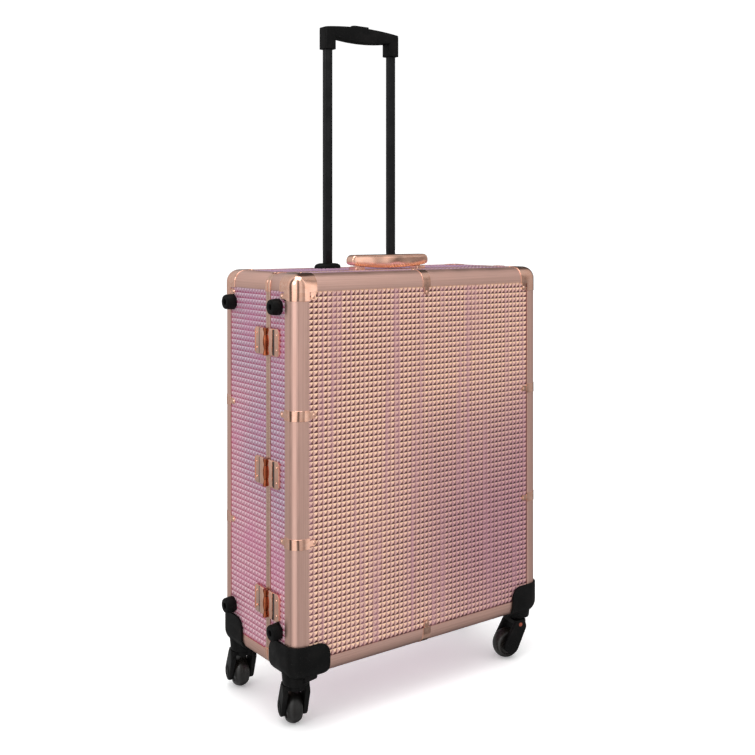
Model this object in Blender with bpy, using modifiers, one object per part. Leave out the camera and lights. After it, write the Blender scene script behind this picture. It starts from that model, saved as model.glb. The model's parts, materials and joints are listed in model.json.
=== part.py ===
"""Studded make-up trolley case: two framed shells hinged on the left side, on four casters.

The row's origin lies on the floor under the middle of the case. +X points to the right side of the
case, +Y to its back and +Z up. The front shell is a lid that swings about the three hinges at -X.
Every shape is drawn in case coordinates, whose zero is at the middle of the case's own bottom, and
hangs on an empty. Lengths are in metres.
"""
import math

import bmesh
import bpy
from mathutils import Matrix, Vector

# ------------------------------------------------------------------ driving dimensions
CASE_WIDTH = 0.518
CASE_DEPTH = 0.226
CASE_HEIGHT = 0.620
LID_DEPTH = 0.0775            # front face to the seam between the shells
CASE_SHIFT_Y = -0.004         # sets the case against the rear casters, which trail behind it

GAP = 0.0003                  # between pieces that touch
EDGE_RADIUS = 0.020           # rounding of the edge profiles
EDGE_LEG = 0.0272             # reach of a profile on each face
LIP = 0.0020                  # thickness of a profile's leg over the panel
PLATE_SEAT = 0.0150           # solid corner of a profile, where the panels end
PLATE = 0.0050                # panel thickness
RIM_WIDTH = 0.0055
RIM_INSET = 0.0095
SEAM_GAP = 0.0010

WHEEL_RADIUS = 0.026
WHEEL_WIDTH = 0.024
WHEEL_SIDE_GAP = 0.0012
WHEEL_HUB_RADIUS = 0.0091
WHEEL_DISH_EDGE = 0.0073       # tyre's ring, from the tread inwards
WHEEL_DISH_DEPTH = 0.0030
WHEEL_SHOULDER = 0.0026        # rounding of the tyre, from the tread inwards
WHEEL_SHOULDER_DROP = 0.0050
WHEEL_CHAMFER = 0.0010
WHEEL_TRAIL = 0.024
AXLE_RADIUS = 0.0030
AXLE_GAP = 0.0004
CHEEK = 0.0085
CHEEK_HUB_RADIUS = 0.0175
CROWN_GAP = 0.0035            # wheel to the fork's crown
CROWN_HEIGHT = 0.0150
CROWN_LENGTH = 0.030
CROWN_ROUND = 0.006
CHEEK_TOP_RADIUS = 0.01275
CHEEK_TOP_DROP = 0.0135        # centre of the cheek's upper round below the fork's top
STEM_RADIUS = 0.0045
STEM_GAP = 0.0004
FORK_RUN_GAP = 0.0010         # crown to the bracket above it
BOSS_DROP = 0.0130            # bracket boss below the case bottom
BOSS_RADIUS_TOP = 0.0215
BOSS_RADIUS_BOTTOM = 0.0195
CASTER_INSET_X = 0.0225       # swivel axis from the case's side
CASTER_INSET_Y = 0.0300       # swivel axis from the case's front or back

BRACKET = 0.0032              # wall of a caster bracket
BRACKET_REACH_X = 0.064
BRACKET_HEIGHT = 0.052
BRACKET_ROUND = 0.018
BRACKET_SEAM_MARGIN = 0.0015

FOOT_RADIUS = 0.0130
FOOT_TIP_RADIUS = 0.0115
FOOT_LENGTH = 0.0150
FOOT_HOLE_RADIUS = 0.0045
FOOT_HOLE_DEPTH = 0.0060
FOOT_CHAMFER = 0.0010
FOOT_INSET_FRONT = 0.0465     # foot centre from the front face
FOOT_INSET_REAR = 0.0340      # foot centre from the back face
FOOT_TOP_INSET = 0.0520       # upper foot centre below the case top

HINGE_HEIGHT = 0.043
HINGE_LEAF = 0.037            # reach of one leaf from the seam
HINGE_LEAF_THICKNESS = 0.0020
HINGE_AXIS_OUT = 0.0045       # pin centre outside the case's side
HINGE_KNUCKLE_RADIUS = 0.0040
HINGE_PIN_RADIUS = 0.0017
HINGE_NECK = 0.0055           # leaf cleared beside the other leaf's knuckles
HINGE_TOP_INSET = 0.108       # top hinge centre below the case top
HINGE_BOTTOM_INSET = 0.1017

LATCH_HEIGHT = 0.034
LATCH_BASE_REACH = 0.034      # base plate from the seam
LATCH_STRIKE_REACH = 0.028
LATCH_PLATE = 0.0018
LATCH_AXIS_FROM_SEAM = 0.022
LATCH_AXIS_OUT = 0.0060
LATCH_LUG = 0.0045
LATCH_BARREL_RADIUS = 0.0030
LATCH_LUG_ROUND = 0.0027
LATCH_PIVOT_RADIUS = 0.0014
LATCH_FLAP = 0.0018
LATCH_FLAP_REACH = 0.023      # flap past the seam onto the lid
LATCH_KEEPER_RADIUS = 0.0045
LATCH_KEEPER_HEIGHT = 0.0014
LATCH_INSET = 0.185           # latch centres from the case's top and bottom

TUBE_WIDTH = 0.0158
TUBE_DEPTH = 0.0110
TUBE_HALF_SPACING = 0.0700
TUBE_LEG_ROOM = 0.0018        # tube to the leg of the rear edge profile
TUBE_FREE_LENGTH = 0.3863     # case top to the grip's sockets, handle out
TUBE_HOLD = 0.0550            # tube left in the housing, handle out
TUBE_ROUND = 0.0025
SLIDE_GAP = 0.0005
HOUSING_WALL = 0.0020
HANDLE_TRAVEL = 0.370
HOUSING_BRIDGE = 0.020
GRIP_LENGTH = 0.162
GRIP_DEPTH = 0.024
GRIP_HEIGHT = 0.0260
SOCKET_HEIGHT = 0.0435
SOCKET_WIDTH = 0.0225
GRIP_ROUND = 0.005
BUTTON_LENGTH = 0.036
BUTTON_DEPTH = 0.013
BUTTON_PROUD = 0.0040
BUTTON_SUNK = 0.0100
BUTTON_TRAVEL = 0.0030
BUTTON_ROUND = 0.0052
COLLAR_LENGTH = 0.052
COLLAR_DEPTH = 0.030
COLLAR_HEIGHT = 0.008

CARRY_LENGTH = 0.165
CARRY_DEPTH = 0.022
CARRY_BEHIND_SEAM = 0.0295
CARRY_TOP = 0.0245            # handle's top above the case top
CARRY_END_HEIGHT = 0.0080     # handle's underside above the case top, at its ends
CARRY_BELLY_HEIGHT = 0.0015   # and at its middle
CARRY_CORNER = 0.009
CARRY_TRAVEL = 0.022
TANG_HALF_SPACING = 0.066
TANG_WIDTH = 0.0030
TANG_DEPTH = 0.012
CARRY_BRACKET_LENGTH = 0.020
CARRY_BRACKET_HEIGHT = 0.0035
CARRY_BRACKET_ROUND = 0.003

MIRROR_BORDER_X = 0.070
MIRROR_BORDER_Z = 0.090
MIRROR_THICKNESS = 0.0030
MIRROR_ROUND = 0.020

# rest directions in which the casters trail, in degrees from +X
TRAIL_TURN = {"front_left": 70.5, "front_right": 169.5, "rear_left": 75.5, "rear_right": 62.0}

# ------------------------------------------------------------------ derived sizes
HALF_WIDTH = CASE_WIDTH / 2
HALF_DEPTH = CASE_DEPTH / 2
SEAM_Y = LID_DEPTH - HALF_DEPTH
PANEL_DROP = LIP + GAP                       # panel face below the profiles' faces
CAVITY_INSET = LIP + PLATE + 2 * GAP
WHEEL_HALF = WHEEL_WIDTH / 2
FORK_TOP = 2 * WHEEL_RADIUS + CROWN_GAP + CROWN_HEIGHT
FORK_HALF = WHEEL_HALF + WHEEL_SIDE_GAP + CHEEK
FLOOR_CLEARANCE = FORK_TOP + FORK_RUN_GAP + BOSS_DROP
CASTER_X = HALF_WIDTH - CASTER_INSET_X
CASTER_Y = HALF_DEPTH - CASTER_INSET_Y
TUBE_Y = HALF_DEPTH - EDGE_LEG - TUBE_LEG_ROOM - TUBE_DEPTH / 2
SOCKET_BOTTOM = CASE_HEIGHT + TUBE_FREE_LENGTH
GRIP_TOP = SOCKET_BOTTOM + SOCKET_HEIGHT
CARRY_Y = SEAM_Y + CARRY_BEHIND_SEAM
HINGE_X = -HALF_WIDTH - HINGE_AXIS_OUT
LATCH_X = HALF_WIDTH + LATCH_AXIS_OUT
LATCH_Y = SEAM_Y + LATCH_AXIS_FROM_SEAM
PANEL_X = HALF_WIDTH - PANEL_DROP + GAP      # where a piece may rest on a side panel
PANEL_TOP = CASE_HEIGHT - PANEL_DROP + GAP
FAR = 1.0                                    # cutters run past the model by this much
ROUND_STEPS = 20
SMOOTH_ANGLE = math.radians(35.0)
WELD = 0.00001                               # points nearer than this are one


def clear_scene():
    for old in list(bpy.data.objects):
        bpy.data.objects.remove(old, do_unlink=True)


def new_collection(name):
    collection = bpy.data.collections.new(name)
    bpy.context.scene.collection.children.link(collection)
    return collection


clear_scene()
PARTS = new_collection("trolley_makeup_case")
CUTTERS = new_collection("cutters")


# ------------------------------------------------------------------ materials
def make_material(name, colour, roughness, metallic):
    material = bpy.data.materials.new(name)
    material.use_nodes = True
    shader = material.node_tree.nodes["Principled BSDF"]
    shader.inputs["Base Color"].default_value = (*colour, 1.0)
    shader.inputs["Roughness"].default_value = roughness
    shader.inputs["Metallic"].default_value = metallic
    material.diffuse_color = (*colour, 1.0)
    return material


SATIN_METAL = make_material("satin_rose_metal", (0.62, 0.41, 0.34), 0.38, 1.0)
POLISHED_METAL = make_material("polished_rose_metal", (0.80, 0.46, 0.34), 0.14, 1.0)
STUDDED_SHEET = make_material("studded_sheet", (0.76, 0.52, 0.50), 0.30, 0.5)
BLACK_PLASTIC = make_material("black_plastic", (0.018, 0.018, 0.018), 0.42, 0.0)
BLACK_TUBE = make_material("black_tube", (0.015, 0.015, 0.016), 0.30, 0.4)
WHEEL_RUBBER = make_material("wheel_rubber", (0.025, 0.024, 0.022), 0.55, 0.0)
STEEL = make_material("steel", (0.60, 0.60, 0.62), 0.30, 1.0)
MIRROR_GLASS = make_material("mirror_glass", (0.85, 0.88, 0.88), 0.03, 1.0)


# ------------------------------------------------------------------ helpers
def add_empty(name, location, parent=None, turn=0.0):
    empty = bpy.data.objects.new(name, None)
    empty.location = location
    empty.rotation_euler = (0.0, 0.0, turn)
    empty.parent = parent
    PARTS.objects.link(empty)
    return empty


CASE_FRAME = add_empty("case_frame", (0.0, CASE_SHIFT_Y, FLOOR_CLEARANCE))
LID_PIVOT = add_empty("lid_pivot", (HINGE_X, SEAM_Y, CASE_HEIGHT / 2), CASE_FRAME)
TROLLEY_SLIDE = add_empty("trolley_slide", (0.0, TUBE_Y, SOCKET_BOTTOM), CASE_FRAME)
CARRY_SLIDE = add_empty("carry_slide", (0.0, CARRY_Y, CASE_HEIGHT), CASE_FRAME)


def in_case_coordinates(piece, pivot):
    """Hang a piece on a pivot, with its mesh still read in case coordinates."""
    piece.parent = pivot
    piece.location = (0.0, 0.0, 0.0) if pivot is CASE_FRAME else -pivot.location


def add_piece(name, mesh, material, pivot):
    piece = bpy.data.objects.new(name, mesh)
    piece.data.materials.append(material)
    PARTS.objects.link(piece)
    in_case_coordinates(piece, pivot)
    return piece


def add_tool(name, mesh, pivot):
    """An object that only shapes another one through a Boolean."""
    tool = bpy.data.objects.new(name, mesh)
    tool.hide_render = True
    tool.display_type = "WIRE"
    CUTTERS.objects.link(tool)
    in_case_coordinates(tool, pivot)
    return tool


def combine(piece, tool, operation="DIFFERENCE"):
    modifier = piece.modifiers.new(tool.name, "BOOLEAN")
    modifier.operation = operation
    modifier.solver = "EXACT"
    modifier.object = tool


def box_mesh(name, low, high, radius=0.0, along="XYZ", segments=4):
    """A box between two corners, with the edges that run along the given axes rounded."""
    low, high = Vector(low), Vector(high)
    mesh = bpy.data.meshes.new(name)
    bm = bmesh.new()
    size = Matrix.Diagonal((*(high - low), 1.0))
    bmesh.ops.create_cube(bm, size=1.0, matrix=Matrix.Translation((low + high) / 2) @ size)
    if radius > 0.0:
        axes = ["XYZ".index(letter) for letter in along]
        edges = [edge for edge in bm.edges if edge_axis(edge) in axes]
        bmesh.ops.bevel(bm, geom=edges, offset=radius, segments=segments, profile=0.5,
                        affect="EDGES", clamp_overlap=True)
    bm.to_mesh(mesh)
    bm.free()
    if radius > 0.0:
        smooth(mesh)
    return mesh


def edge_axis(edge):
    run = edge.verts[1].co - edge.verts[0].co
    return max(range(3), key=lambda i: abs(run[i]))


def cylinder_mesh(name, centre, radius, length, axis="Z", top_radius=None, steps=ROUND_STEPS):
    turn = {"X": Matrix.Rotation(math.pi / 2, 4, "Y"), "Y": Matrix.Rotation(-math.pi / 2, 4, "X"),
            "Z": Matrix.Identity(4)}[axis]
    mesh = bpy.data.meshes.new(name)
    bm = bmesh.new()
    bmesh.ops.create_cone(bm, cap_ends=True, segments=steps, radius1=radius,
                          radius2=radius if top_radius is None else top_radius, depth=length,
                          matrix=Matrix.Translation(centre) @ turn)
    bm.to_mesh(mesh)
    bm.free()
    smooth(mesh)
    return mesh


def smooth(mesh):
    mesh.shade_smooth()
    mesh.set_sharp_from_angle(angle=SMOOTH_ANGLE)


def outline_mesh(name, points, thickness, matrix):
    """A flat outline, drawn as a filled curve in its own plane, made a closed slab."""
    curve = bpy.data.curves.new(name, "CURVE")
    curve.dimensions = "2D"
    curve.fill_mode = "BOTH"
    curve.extrude = thickness / 2
    spline = curve.splines.new("POLY")
    spline.points.add(len(points) - 1)
    for point, (x, y) in zip(spline.points, points):
        point.co = (x, y, 0.0, 1.0)
    spline.use_cyclic_u = True
    guide = bpy.data.objects.new(name + "_outline", curve)
    CUTTERS.objects.link(guide)
    mesh = evaluated_mesh(name, guide)
    bpy.data.objects.remove(guide, do_unlink=True)
    bm = bmesh.new()
    bm.from_mesh(mesh)
    bmesh.ops.remove_doubles(bm, verts=bm.verts, dist=WELD)
    bmesh.ops.transform(bm, matrix=matrix, verts=bm.verts)
    bmesh.ops.recalc_face_normals(bm, faces=bm.faces)
    bm.to_mesh(mesh)
    bm.free()
    smooth(mesh)
    return mesh


def evaluated_mesh(name, source):
    graph = bpy.context.evaluated_depsgraph_get()
    mesh = bpy.data.meshes.new_from_object(source.evaluated_get(graph))
    mesh.name = name
    return mesh


def turned_mesh(name, profile, closed, matrix):
    """A profile of (radius, height) points turned once about Z, then placed."""
    mesh = bpy.data.meshes.new(name)
    count = len(profile)
    edges = [(i, (i + 1) % count) for i in range(count if closed else count - 1)]
    mesh.from_pydata([(radius, 0.0, height) for radius, height in profile], edges, [])
    guide = bpy.data.objects.new(name + "_profile", mesh)
    CUTTERS.objects.link(guide)
    screw = guide.modifiers.new("turn", "SCREW")
    screw.steps = screw.render_steps = ROUND_STEPS
    screw.use_merge_vertices = True
    screw.merge_threshold = WELD
    turned = evaluated_mesh(name, guide)
    bpy.data.objects.remove(guide, do_unlink=True)
    turned.transform(matrix)
    smooth(turned)
    return turned


def span(sign, near, far):
    """Two Y (or X) values on one side of zero, lowest first."""
    return tuple(sorted((sign * near, sign * far)))


def slab(axis_values):
    """Low and high corners from three (low, high) pairs."""
    return [pair[0] for pair in axis_values], [pair[1] for pair in axis_values]


# ------------------------------------------------------------------ shells
def across(inset):
    return (-HALF_WIDTH + inset, HALF_WIDTH - inset)


def upright(inset):
    return (inset, CASE_HEIGHT - inset)


def shell_run(sign, inset, seam_end):
    """Y values from the shell's closed face, less an inset, to a stated place at the seam."""
    return tuple(sorted((sign * (HALF_DEPTH - inset), seam_end)))


def build_shell(prefix, face_name, sign, pivot):
    seam_face = SEAM_Y + sign * SEAM_GAP / 2
    rim_end = seam_face + sign * RIM_WIDTH
    frame_end = rim_end + sign * GAP
    open_end = seam_face - sign * 2 * EDGE_RADIUS

    frame = add_piece(
        prefix + "_frame",
        box_mesh(prefix + "_frame", *slab((across(0), shell_run(sign, 0, open_end), upright(0))),
                 radius=EDGE_RADIUS, segments=5), SATIN_METAL, pivot)
    run_past = shell_run(sign, -FAR, open_end)
    cuts = {
        "mouth": ((-FAR, FAR), tuple(sorted((frame_end, frame_end - sign * FAR))), (-FAR, FAR)),
        "cavity": (across(CAVITY_INSET), shell_run(sign, CAVITY_INSET, open_end),
                   upright(CAVITY_INSET)),
        "seat_sides": (across(LIP), shell_run(sign, PLATE_SEAT, open_end), upright(PLATE_SEAT)),
        "seat_ends": (across(PLATE_SEAT), shell_run(sign, PLATE_SEAT, open_end), upright(LIP)),
        "seat_face": (across(PLATE_SEAT), shell_run(sign, LIP, open_end), upright(PLATE_SEAT)),
        "window_sides": ((-FAR, FAR), shell_run(sign, EDGE_LEG, open_end), upright(EDGE_LEG)),
        "window_ends": (across(EDGE_LEG), shell_run(sign, EDGE_LEG, open_end), (-FAR, FAR)),
        "window_face": (across(EDGE_LEG), run_past, upright(EDGE_LEG)),
    }
    for cut_name, spans in cuts.items():
        tool_name = f"{prefix}_{cut_name}"
        combine(frame, add_tool(tool_name, box_mesh(tool_name, *slab(spans)), pivot))

    seat = PLATE_SEAT + GAP
    wall_run = shell_run(sign, seat, frame_end)
    face_run = span(sign, HALF_DEPTH - PANEL_DROP, HALF_DEPTH - PANEL_DROP - PLATE)
    side_run = span(1, HALF_WIDTH - PANEL_DROP, HALF_WIDTH - PANEL_DROP - PLATE)
    top_run = (CASE_HEIGHT - PANEL_DROP - PLATE, CASE_HEIGHT - PANEL_DROP)
    plates = {
        face_name: (across(seat), face_run, upright(seat)),
        prefix + "_wall_right": (side_run, wall_run, upright(seat)),
        prefix + "_wall_left": (tuple(-x for x in reversed(side_run)), wall_run, upright(seat)),
        prefix + "_wall_top": (across(seat), wall_run, top_run),
        prefix + "_wall_bottom": (across(seat), wall_run, (PANEL_DROP, PANEL_DROP + PLATE)),
    }
    walls = {}
    for plate_name, spans in plates.items():
        mesh = box_mesh(plate_name, *slab(spans))
        walls[plate_name] = add_piece(plate_name, mesh, STUDDED_SHEET, pivot)

    rim_run = tuple(sorted((seam_face, rim_end)))
    rim = add_piece(prefix + "_rim",
                    box_mesh(prefix + "_rim", *slab((across(0), rim_run, upright(0))),
                             radius=EDGE_RADIUS, along="Y", segments=6), SATIN_METAL, pivot)
    rim_hole = box_mesh(prefix + "_rim_hole",
                        *slab((across(RIM_INSET), (-FAR, FAR), upright(RIM_INSET))))
    combine(rim, add_tool(prefix + "_rim_hole", rim_hole, pivot))
    return walls


# ------------------------------------------------------------------ caster brackets and side feet
def corner_block(name, side_x, side_y, grow):
    """The case's own rounded corner, grown outwards, reaching well past a bracket."""
    reach = 4 * BRACKET_REACH_X
    x_run = tuple(sorted((side_x * (HALF_WIDTH + grow), side_x * (HALF_WIDTH - reach))))
    y_run = tuple(sorted((side_y * (HALF_DEPTH + grow), side_y * (HALF_DEPTH - reach))))
    return box_mesh(name, *slab((x_run, y_run, (-grow, reach))), radius=EDGE_RADIUS + grow, segments=5)


def build_bracket(corner, side_x, side_y, pivot):
    name = "caster_bracket_" + corner
    bracket = add_piece(name, corner_block(name, side_x, side_y, GAP + BRACKET), BLACK_PLASTIC, pivot)
    combine(bracket, add_tool(name + "_inside", corner_block(name + "_inside", side_x, side_y, GAP),
                              pivot))
    margin = 2 * BRACKET
    reach_y = LID_DEPTH - SEAM_GAP / 2 - RIM_WIDTH - BRACKET_SEAM_MARGIN
    x_run = tuple(sorted((side_x * (HALF_WIDTH + BRACKET_ROUND + margin),
                          side_x * (HALF_WIDTH - BRACKET_REACH_X))))
    y_run = tuple(sorted((side_y * (HALF_DEPTH + BRACKET_ROUND + margin),
                          side_y * (HALF_DEPTH - reach_y))))
    region = box_mesh(name + "_region", *slab((x_run, y_run, (-BRACKET_ROUND - margin, BRACKET_HEIGHT))),
                      radius=BRACKET_ROUND, segments=4)
    combine(bracket, add_tool(name + "_region", region, pivot), "INTERSECT")
    boss_length = BOSS_DROP - GAP - BRACKET / 2
    axis = Vector((side_x * CASTER_X, side_y * CASTER_Y, 0.0))
    boss = cylinder_mesh(name + "_boss", axis - Vector((0, 0, BOSS_DROP - boss_length / 2)),
                         BOSS_RADIUS_BOTTOM, boss_length, top_radius=BOSS_RADIUS_TOP)
    combine(bracket, add_tool(name + "_boss", boss, pivot), "UNION")
    bore = cylinder_mesh(name + "_bore", axis, STEM_RADIUS + STEM_GAP, 2 * BOSS_DROP + BRACKET)
    combine(bracket, add_tool(name + "_bore", bore, pivot))


def build_foot(name, y, z, pivot, over_profile):
    """A round foot on the left side. One that meets an edge profile is cut to sit over its leg."""
    depth = FOOT_LENGTH + PANEL_X - HALF_WIDTH + 2 * GAP
    base = HALF_WIDTH - PANEL_DROP + GAP
    tip = HALF_WIDTH + FOOT_LENGTH
    profile = [(0.0, tip - FOOT_HOLE_DEPTH), (FOOT_HOLE_RADIUS, tip - FOOT_HOLE_DEPTH),
               (FOOT_HOLE_RADIUS, tip), (FOOT_TIP_RADIUS - FOOT_CHAMFER, tip),
               (FOOT_TIP_RADIUS, tip - FOOT_CHAMFER),
               (FOOT_RADIUS, tip - depth / 2), (FOOT_RADIUS, base), (0.0, base)]
    place = Matrix.Translation((0.0, y, z)) @ Matrix.Rotation(-math.pi / 2, 4, "Y")
    foot = add_piece(name, turned_mesh(name, profile, False, place), BLACK_PLASTIC, pivot)
    if over_profile:
        leg = (span(-1, HALF_WIDTH + GAP, 0.0), (HALF_DEPTH - EDGE_LEG - GAP, FAR), (-FAR, FAR))
        combine(foot, add_tool(name + "_seat", box_mesh(name + "_seat", *slab(leg)), pivot))


# ------------------------------------------------------------------ hinges
def build_hinge(number, centre_z):
    half = HINGE_HEIGHT / 2
    middle = HINGE_HEIGHT / 4
    leaf_out = -HALF_WIDTH - GAP - HINGE_LEAF_THICKNESS
    for side, sign, pivot in (("lid", -1, LID_PIVOT), ("body", 1, CASE_FRAME)):
        name = f"hinge_{side}_leaf_{number}"
        plate_run = tuple(sorted((SEAM_Y + sign * HINGE_LEAF, SEAM_Y)))
        leaf = add_piece(name, box_mesh(name, *slab(((leaf_out, -PANEL_X), plate_run,
                                                     (centre_z - half, centre_z + half))),
                                        radius=HINGE_LEAF_THICKNESS / 2, along="YZ", segments=2),
                         POLISHED_METAL, pivot)
        rim_end = SEAM_Y + sign * (SEAM_GAP / 2 + RIM_WIDTH + GAP)
        rim_room = ((-HALF_WIDTH - GAP, FAR), tuple(sorted((rim_end, SEAM_Y - sign * FAR))), (-FAR, FAR))
        combine(leaf, add_tool(name + "_rim_room", box_mesh(name + "_rim_room", *slab(rim_room)), pivot))
        knuckle = cylinder_mesh(name + "_knuckle", (HINGE_X, SEAM_Y, centre_z), HINGE_KNUCKLE_RADIUS,
                                HINGE_HEIGHT)
        combine(leaf, add_tool(name + "_knuckle", knuckle, pivot), "UNION")
        beside = tuple(sorted((SEAM_Y + sign * HINGE_NECK, SEAM_Y - sign * FAR)))
        if side == "lid":
            rooms = ((centre_z + middle - GAP / 2, centre_z + FAR),
                     (centre_z - FAR, centre_z - middle + GAP / 2))
        else:
            rooms = ((centre_z - middle - GAP / 2, centre_z + middle + GAP / 2),)
        for index, room in enumerate(rooms):
            tool_name = f"{name}_room_{index}"
            combine(leaf, add_tool(tool_name, box_mesh(tool_name, *slab(((-FAR, FAR), beside, room))), pivot))
        bore = cylinder_mesh(name + "_bore", (HINGE_X, SEAM_Y, centre_z), HINGE_PIN_RADIUS + GAP,
                             2 * HINGE_HEIGHT, steps=16)
        combine(leaf, add_tool(name + "_bore", bore, pivot))
    pin_name = f"hinge_pin_{number}"
    pin = cylinder_mesh(pin_name, (HINGE_X, SEAM_Y, centre_z), HINGE_PIN_RADIUS, HINGE_HEIGHT, steps=16)
    add_piece(pin_name, pin, STEEL, CASE_FRAME)


# ------------------------------------------------------------------ latches
def build_latch(level, centre_z):
    half = LATCH_HEIGHT / 2
    face = HALF_WIDTH + GAP
    lug_inner = half - LATCH_LUG
    name = "latch_base_" + level
    base = add_piece(name, box_mesh(name, *slab(((PANEL_X, face + LATCH_PLATE),
                                                 (SEAM_Y + SEAM_GAP, SEAM_Y + LATCH_BASE_REACH),
                                                 (centre_z - half, centre_z + half)))),
                     POLISHED_METAL, CASE_FRAME)
    rim_end = SEAM_Y + SEAM_GAP / 2 + RIM_WIDTH + GAP
    rim_room = ((-FAR, face), (-FAR, rim_end), (-FAR, FAR))
    combine(base, add_tool(name + "_rim_room", box_mesh(name + "_rim_room", *slab(rim_room)), CASE_FRAME))
    for end, sign in (("top", 1), ("bottom", -1)):
        z_run = tuple(sorted((centre_z + sign * lug_inner, centre_z + sign * half)))
        lug_name = f"{name}_lug_{end}"
        lug = box_mesh(lug_name, *slab(((face, LATCH_X + LATCH_BARREL_RADIUS),
                                        (LATCH_Y - LATCH_BARREL_RADIUS, LATCH_Y + LATCH_BARREL_RADIUS),
                                        z_run)), radius=LATCH_LUG_ROUND, along="Z", segments=3)
        combine(base, add_tool(lug_name, lug, CASE_FRAME), "UNION")
    pivot_bore = cylinder_mesh(name + "_bore", (LATCH_X, LATCH_Y, centre_z), LATCH_PIVOT_RADIUS + GAP,
                               LATCH_HEIGHT - LATCH_LUG, steps=16)
    combine(base, add_tool(name + "_bore", pivot_bore, CASE_FRAME))

    strike_name = "latch_strike_" + level
    strike_half = lug_inner - GAP
    strike_spans = ((PANEL_X, face + LATCH_PLATE), (SEAM_Y - LATCH_STRIKE_REACH, SEAM_Y - SEAM_GAP),
                    (centre_z - strike_half, centre_z + strike_half))
    strike = add_piece(strike_name, box_mesh(strike_name, *slab(strike_spans)), POLISHED_METAL, LID_PIVOT)
    lid_rim_room = ((-FAR, face), (SEAM_Y - SEAM_GAP / 2 - RIM_WIDTH - GAP, FAR), (-FAR, FAR))
    combine(strike, add_tool(strike_name + "_rim_room",
                             box_mesh(strike_name + "_rim_room", *slab(lid_rim_room)), LID_PIVOT))
    keeper_out = face + LATCH_PLATE + LATCH_KEEPER_HEIGHT
    keeper = cylinder_mesh(strike_name + "_keeper", ((face + keeper_out) / 2,
                                                     SEAM_Y - LATCH_STRIKE_REACH / 2, centre_z),
                           LATCH_KEEPER_RADIUS, keeper_out - face, axis="X")
    combine(strike, add_tool(strike_name + "_keeper", keeper, LID_PIVOT), "UNION")

    lever_name = "latch_lever_" + level
    pivot = add_empty(lever_name + "_pivot", (LATCH_X, LATCH_Y, centre_z), CASE_FRAME)
    lever_half = lug_inner - GAP
    flap_in = LATCH_X - LATCH_FLAP / 2
    lever = add_piece(lever_name, box_mesh(
        lever_name, *slab(((flap_in, flap_in + LATCH_FLAP), (SEAM_Y - LATCH_FLAP_REACH, LATCH_Y),
                           (centre_z - lever_half, centre_z + lever_half)))), POLISHED_METAL, pivot)
    barrel = cylinder_mesh(lever_name + "_barrel", (LATCH_X, LATCH_Y, centre_z),
                           LATCH_BARREL_RADIUS, 2 * lever_half, steps=16)
    combine(lever, add_tool(lever_name + "_barrel", barrel, pivot), "UNION")
    trunnion = cylinder_mesh(lever_name + "_trunnion", (LATCH_X, LATCH_Y, centre_z), LATCH_PIVOT_RADIUS,
                             LATCH_HEIGHT - LATCH_LUG - 2 * GAP, steps=16)
    combine(lever, add_tool(lever_name + "_trunnion", trunnion, pivot), "UNION")


# ------------------------------------------------------------------ trolley handle
def tube_hole(name, side, room, z_run):
    half_x, half_y = TUBE_WIDTH / 2 + room, TUBE_DEPTH / 2 + room
    x = side * TUBE_HALF_SPACING
    return box_mesh(name, *slab(((x - half_x, x + half_x), (TUBE_Y - half_y, TUBE_Y + half_y), z_run)),
                    radius=TUBE_ROUND, along="Z", segments=3)


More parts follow.
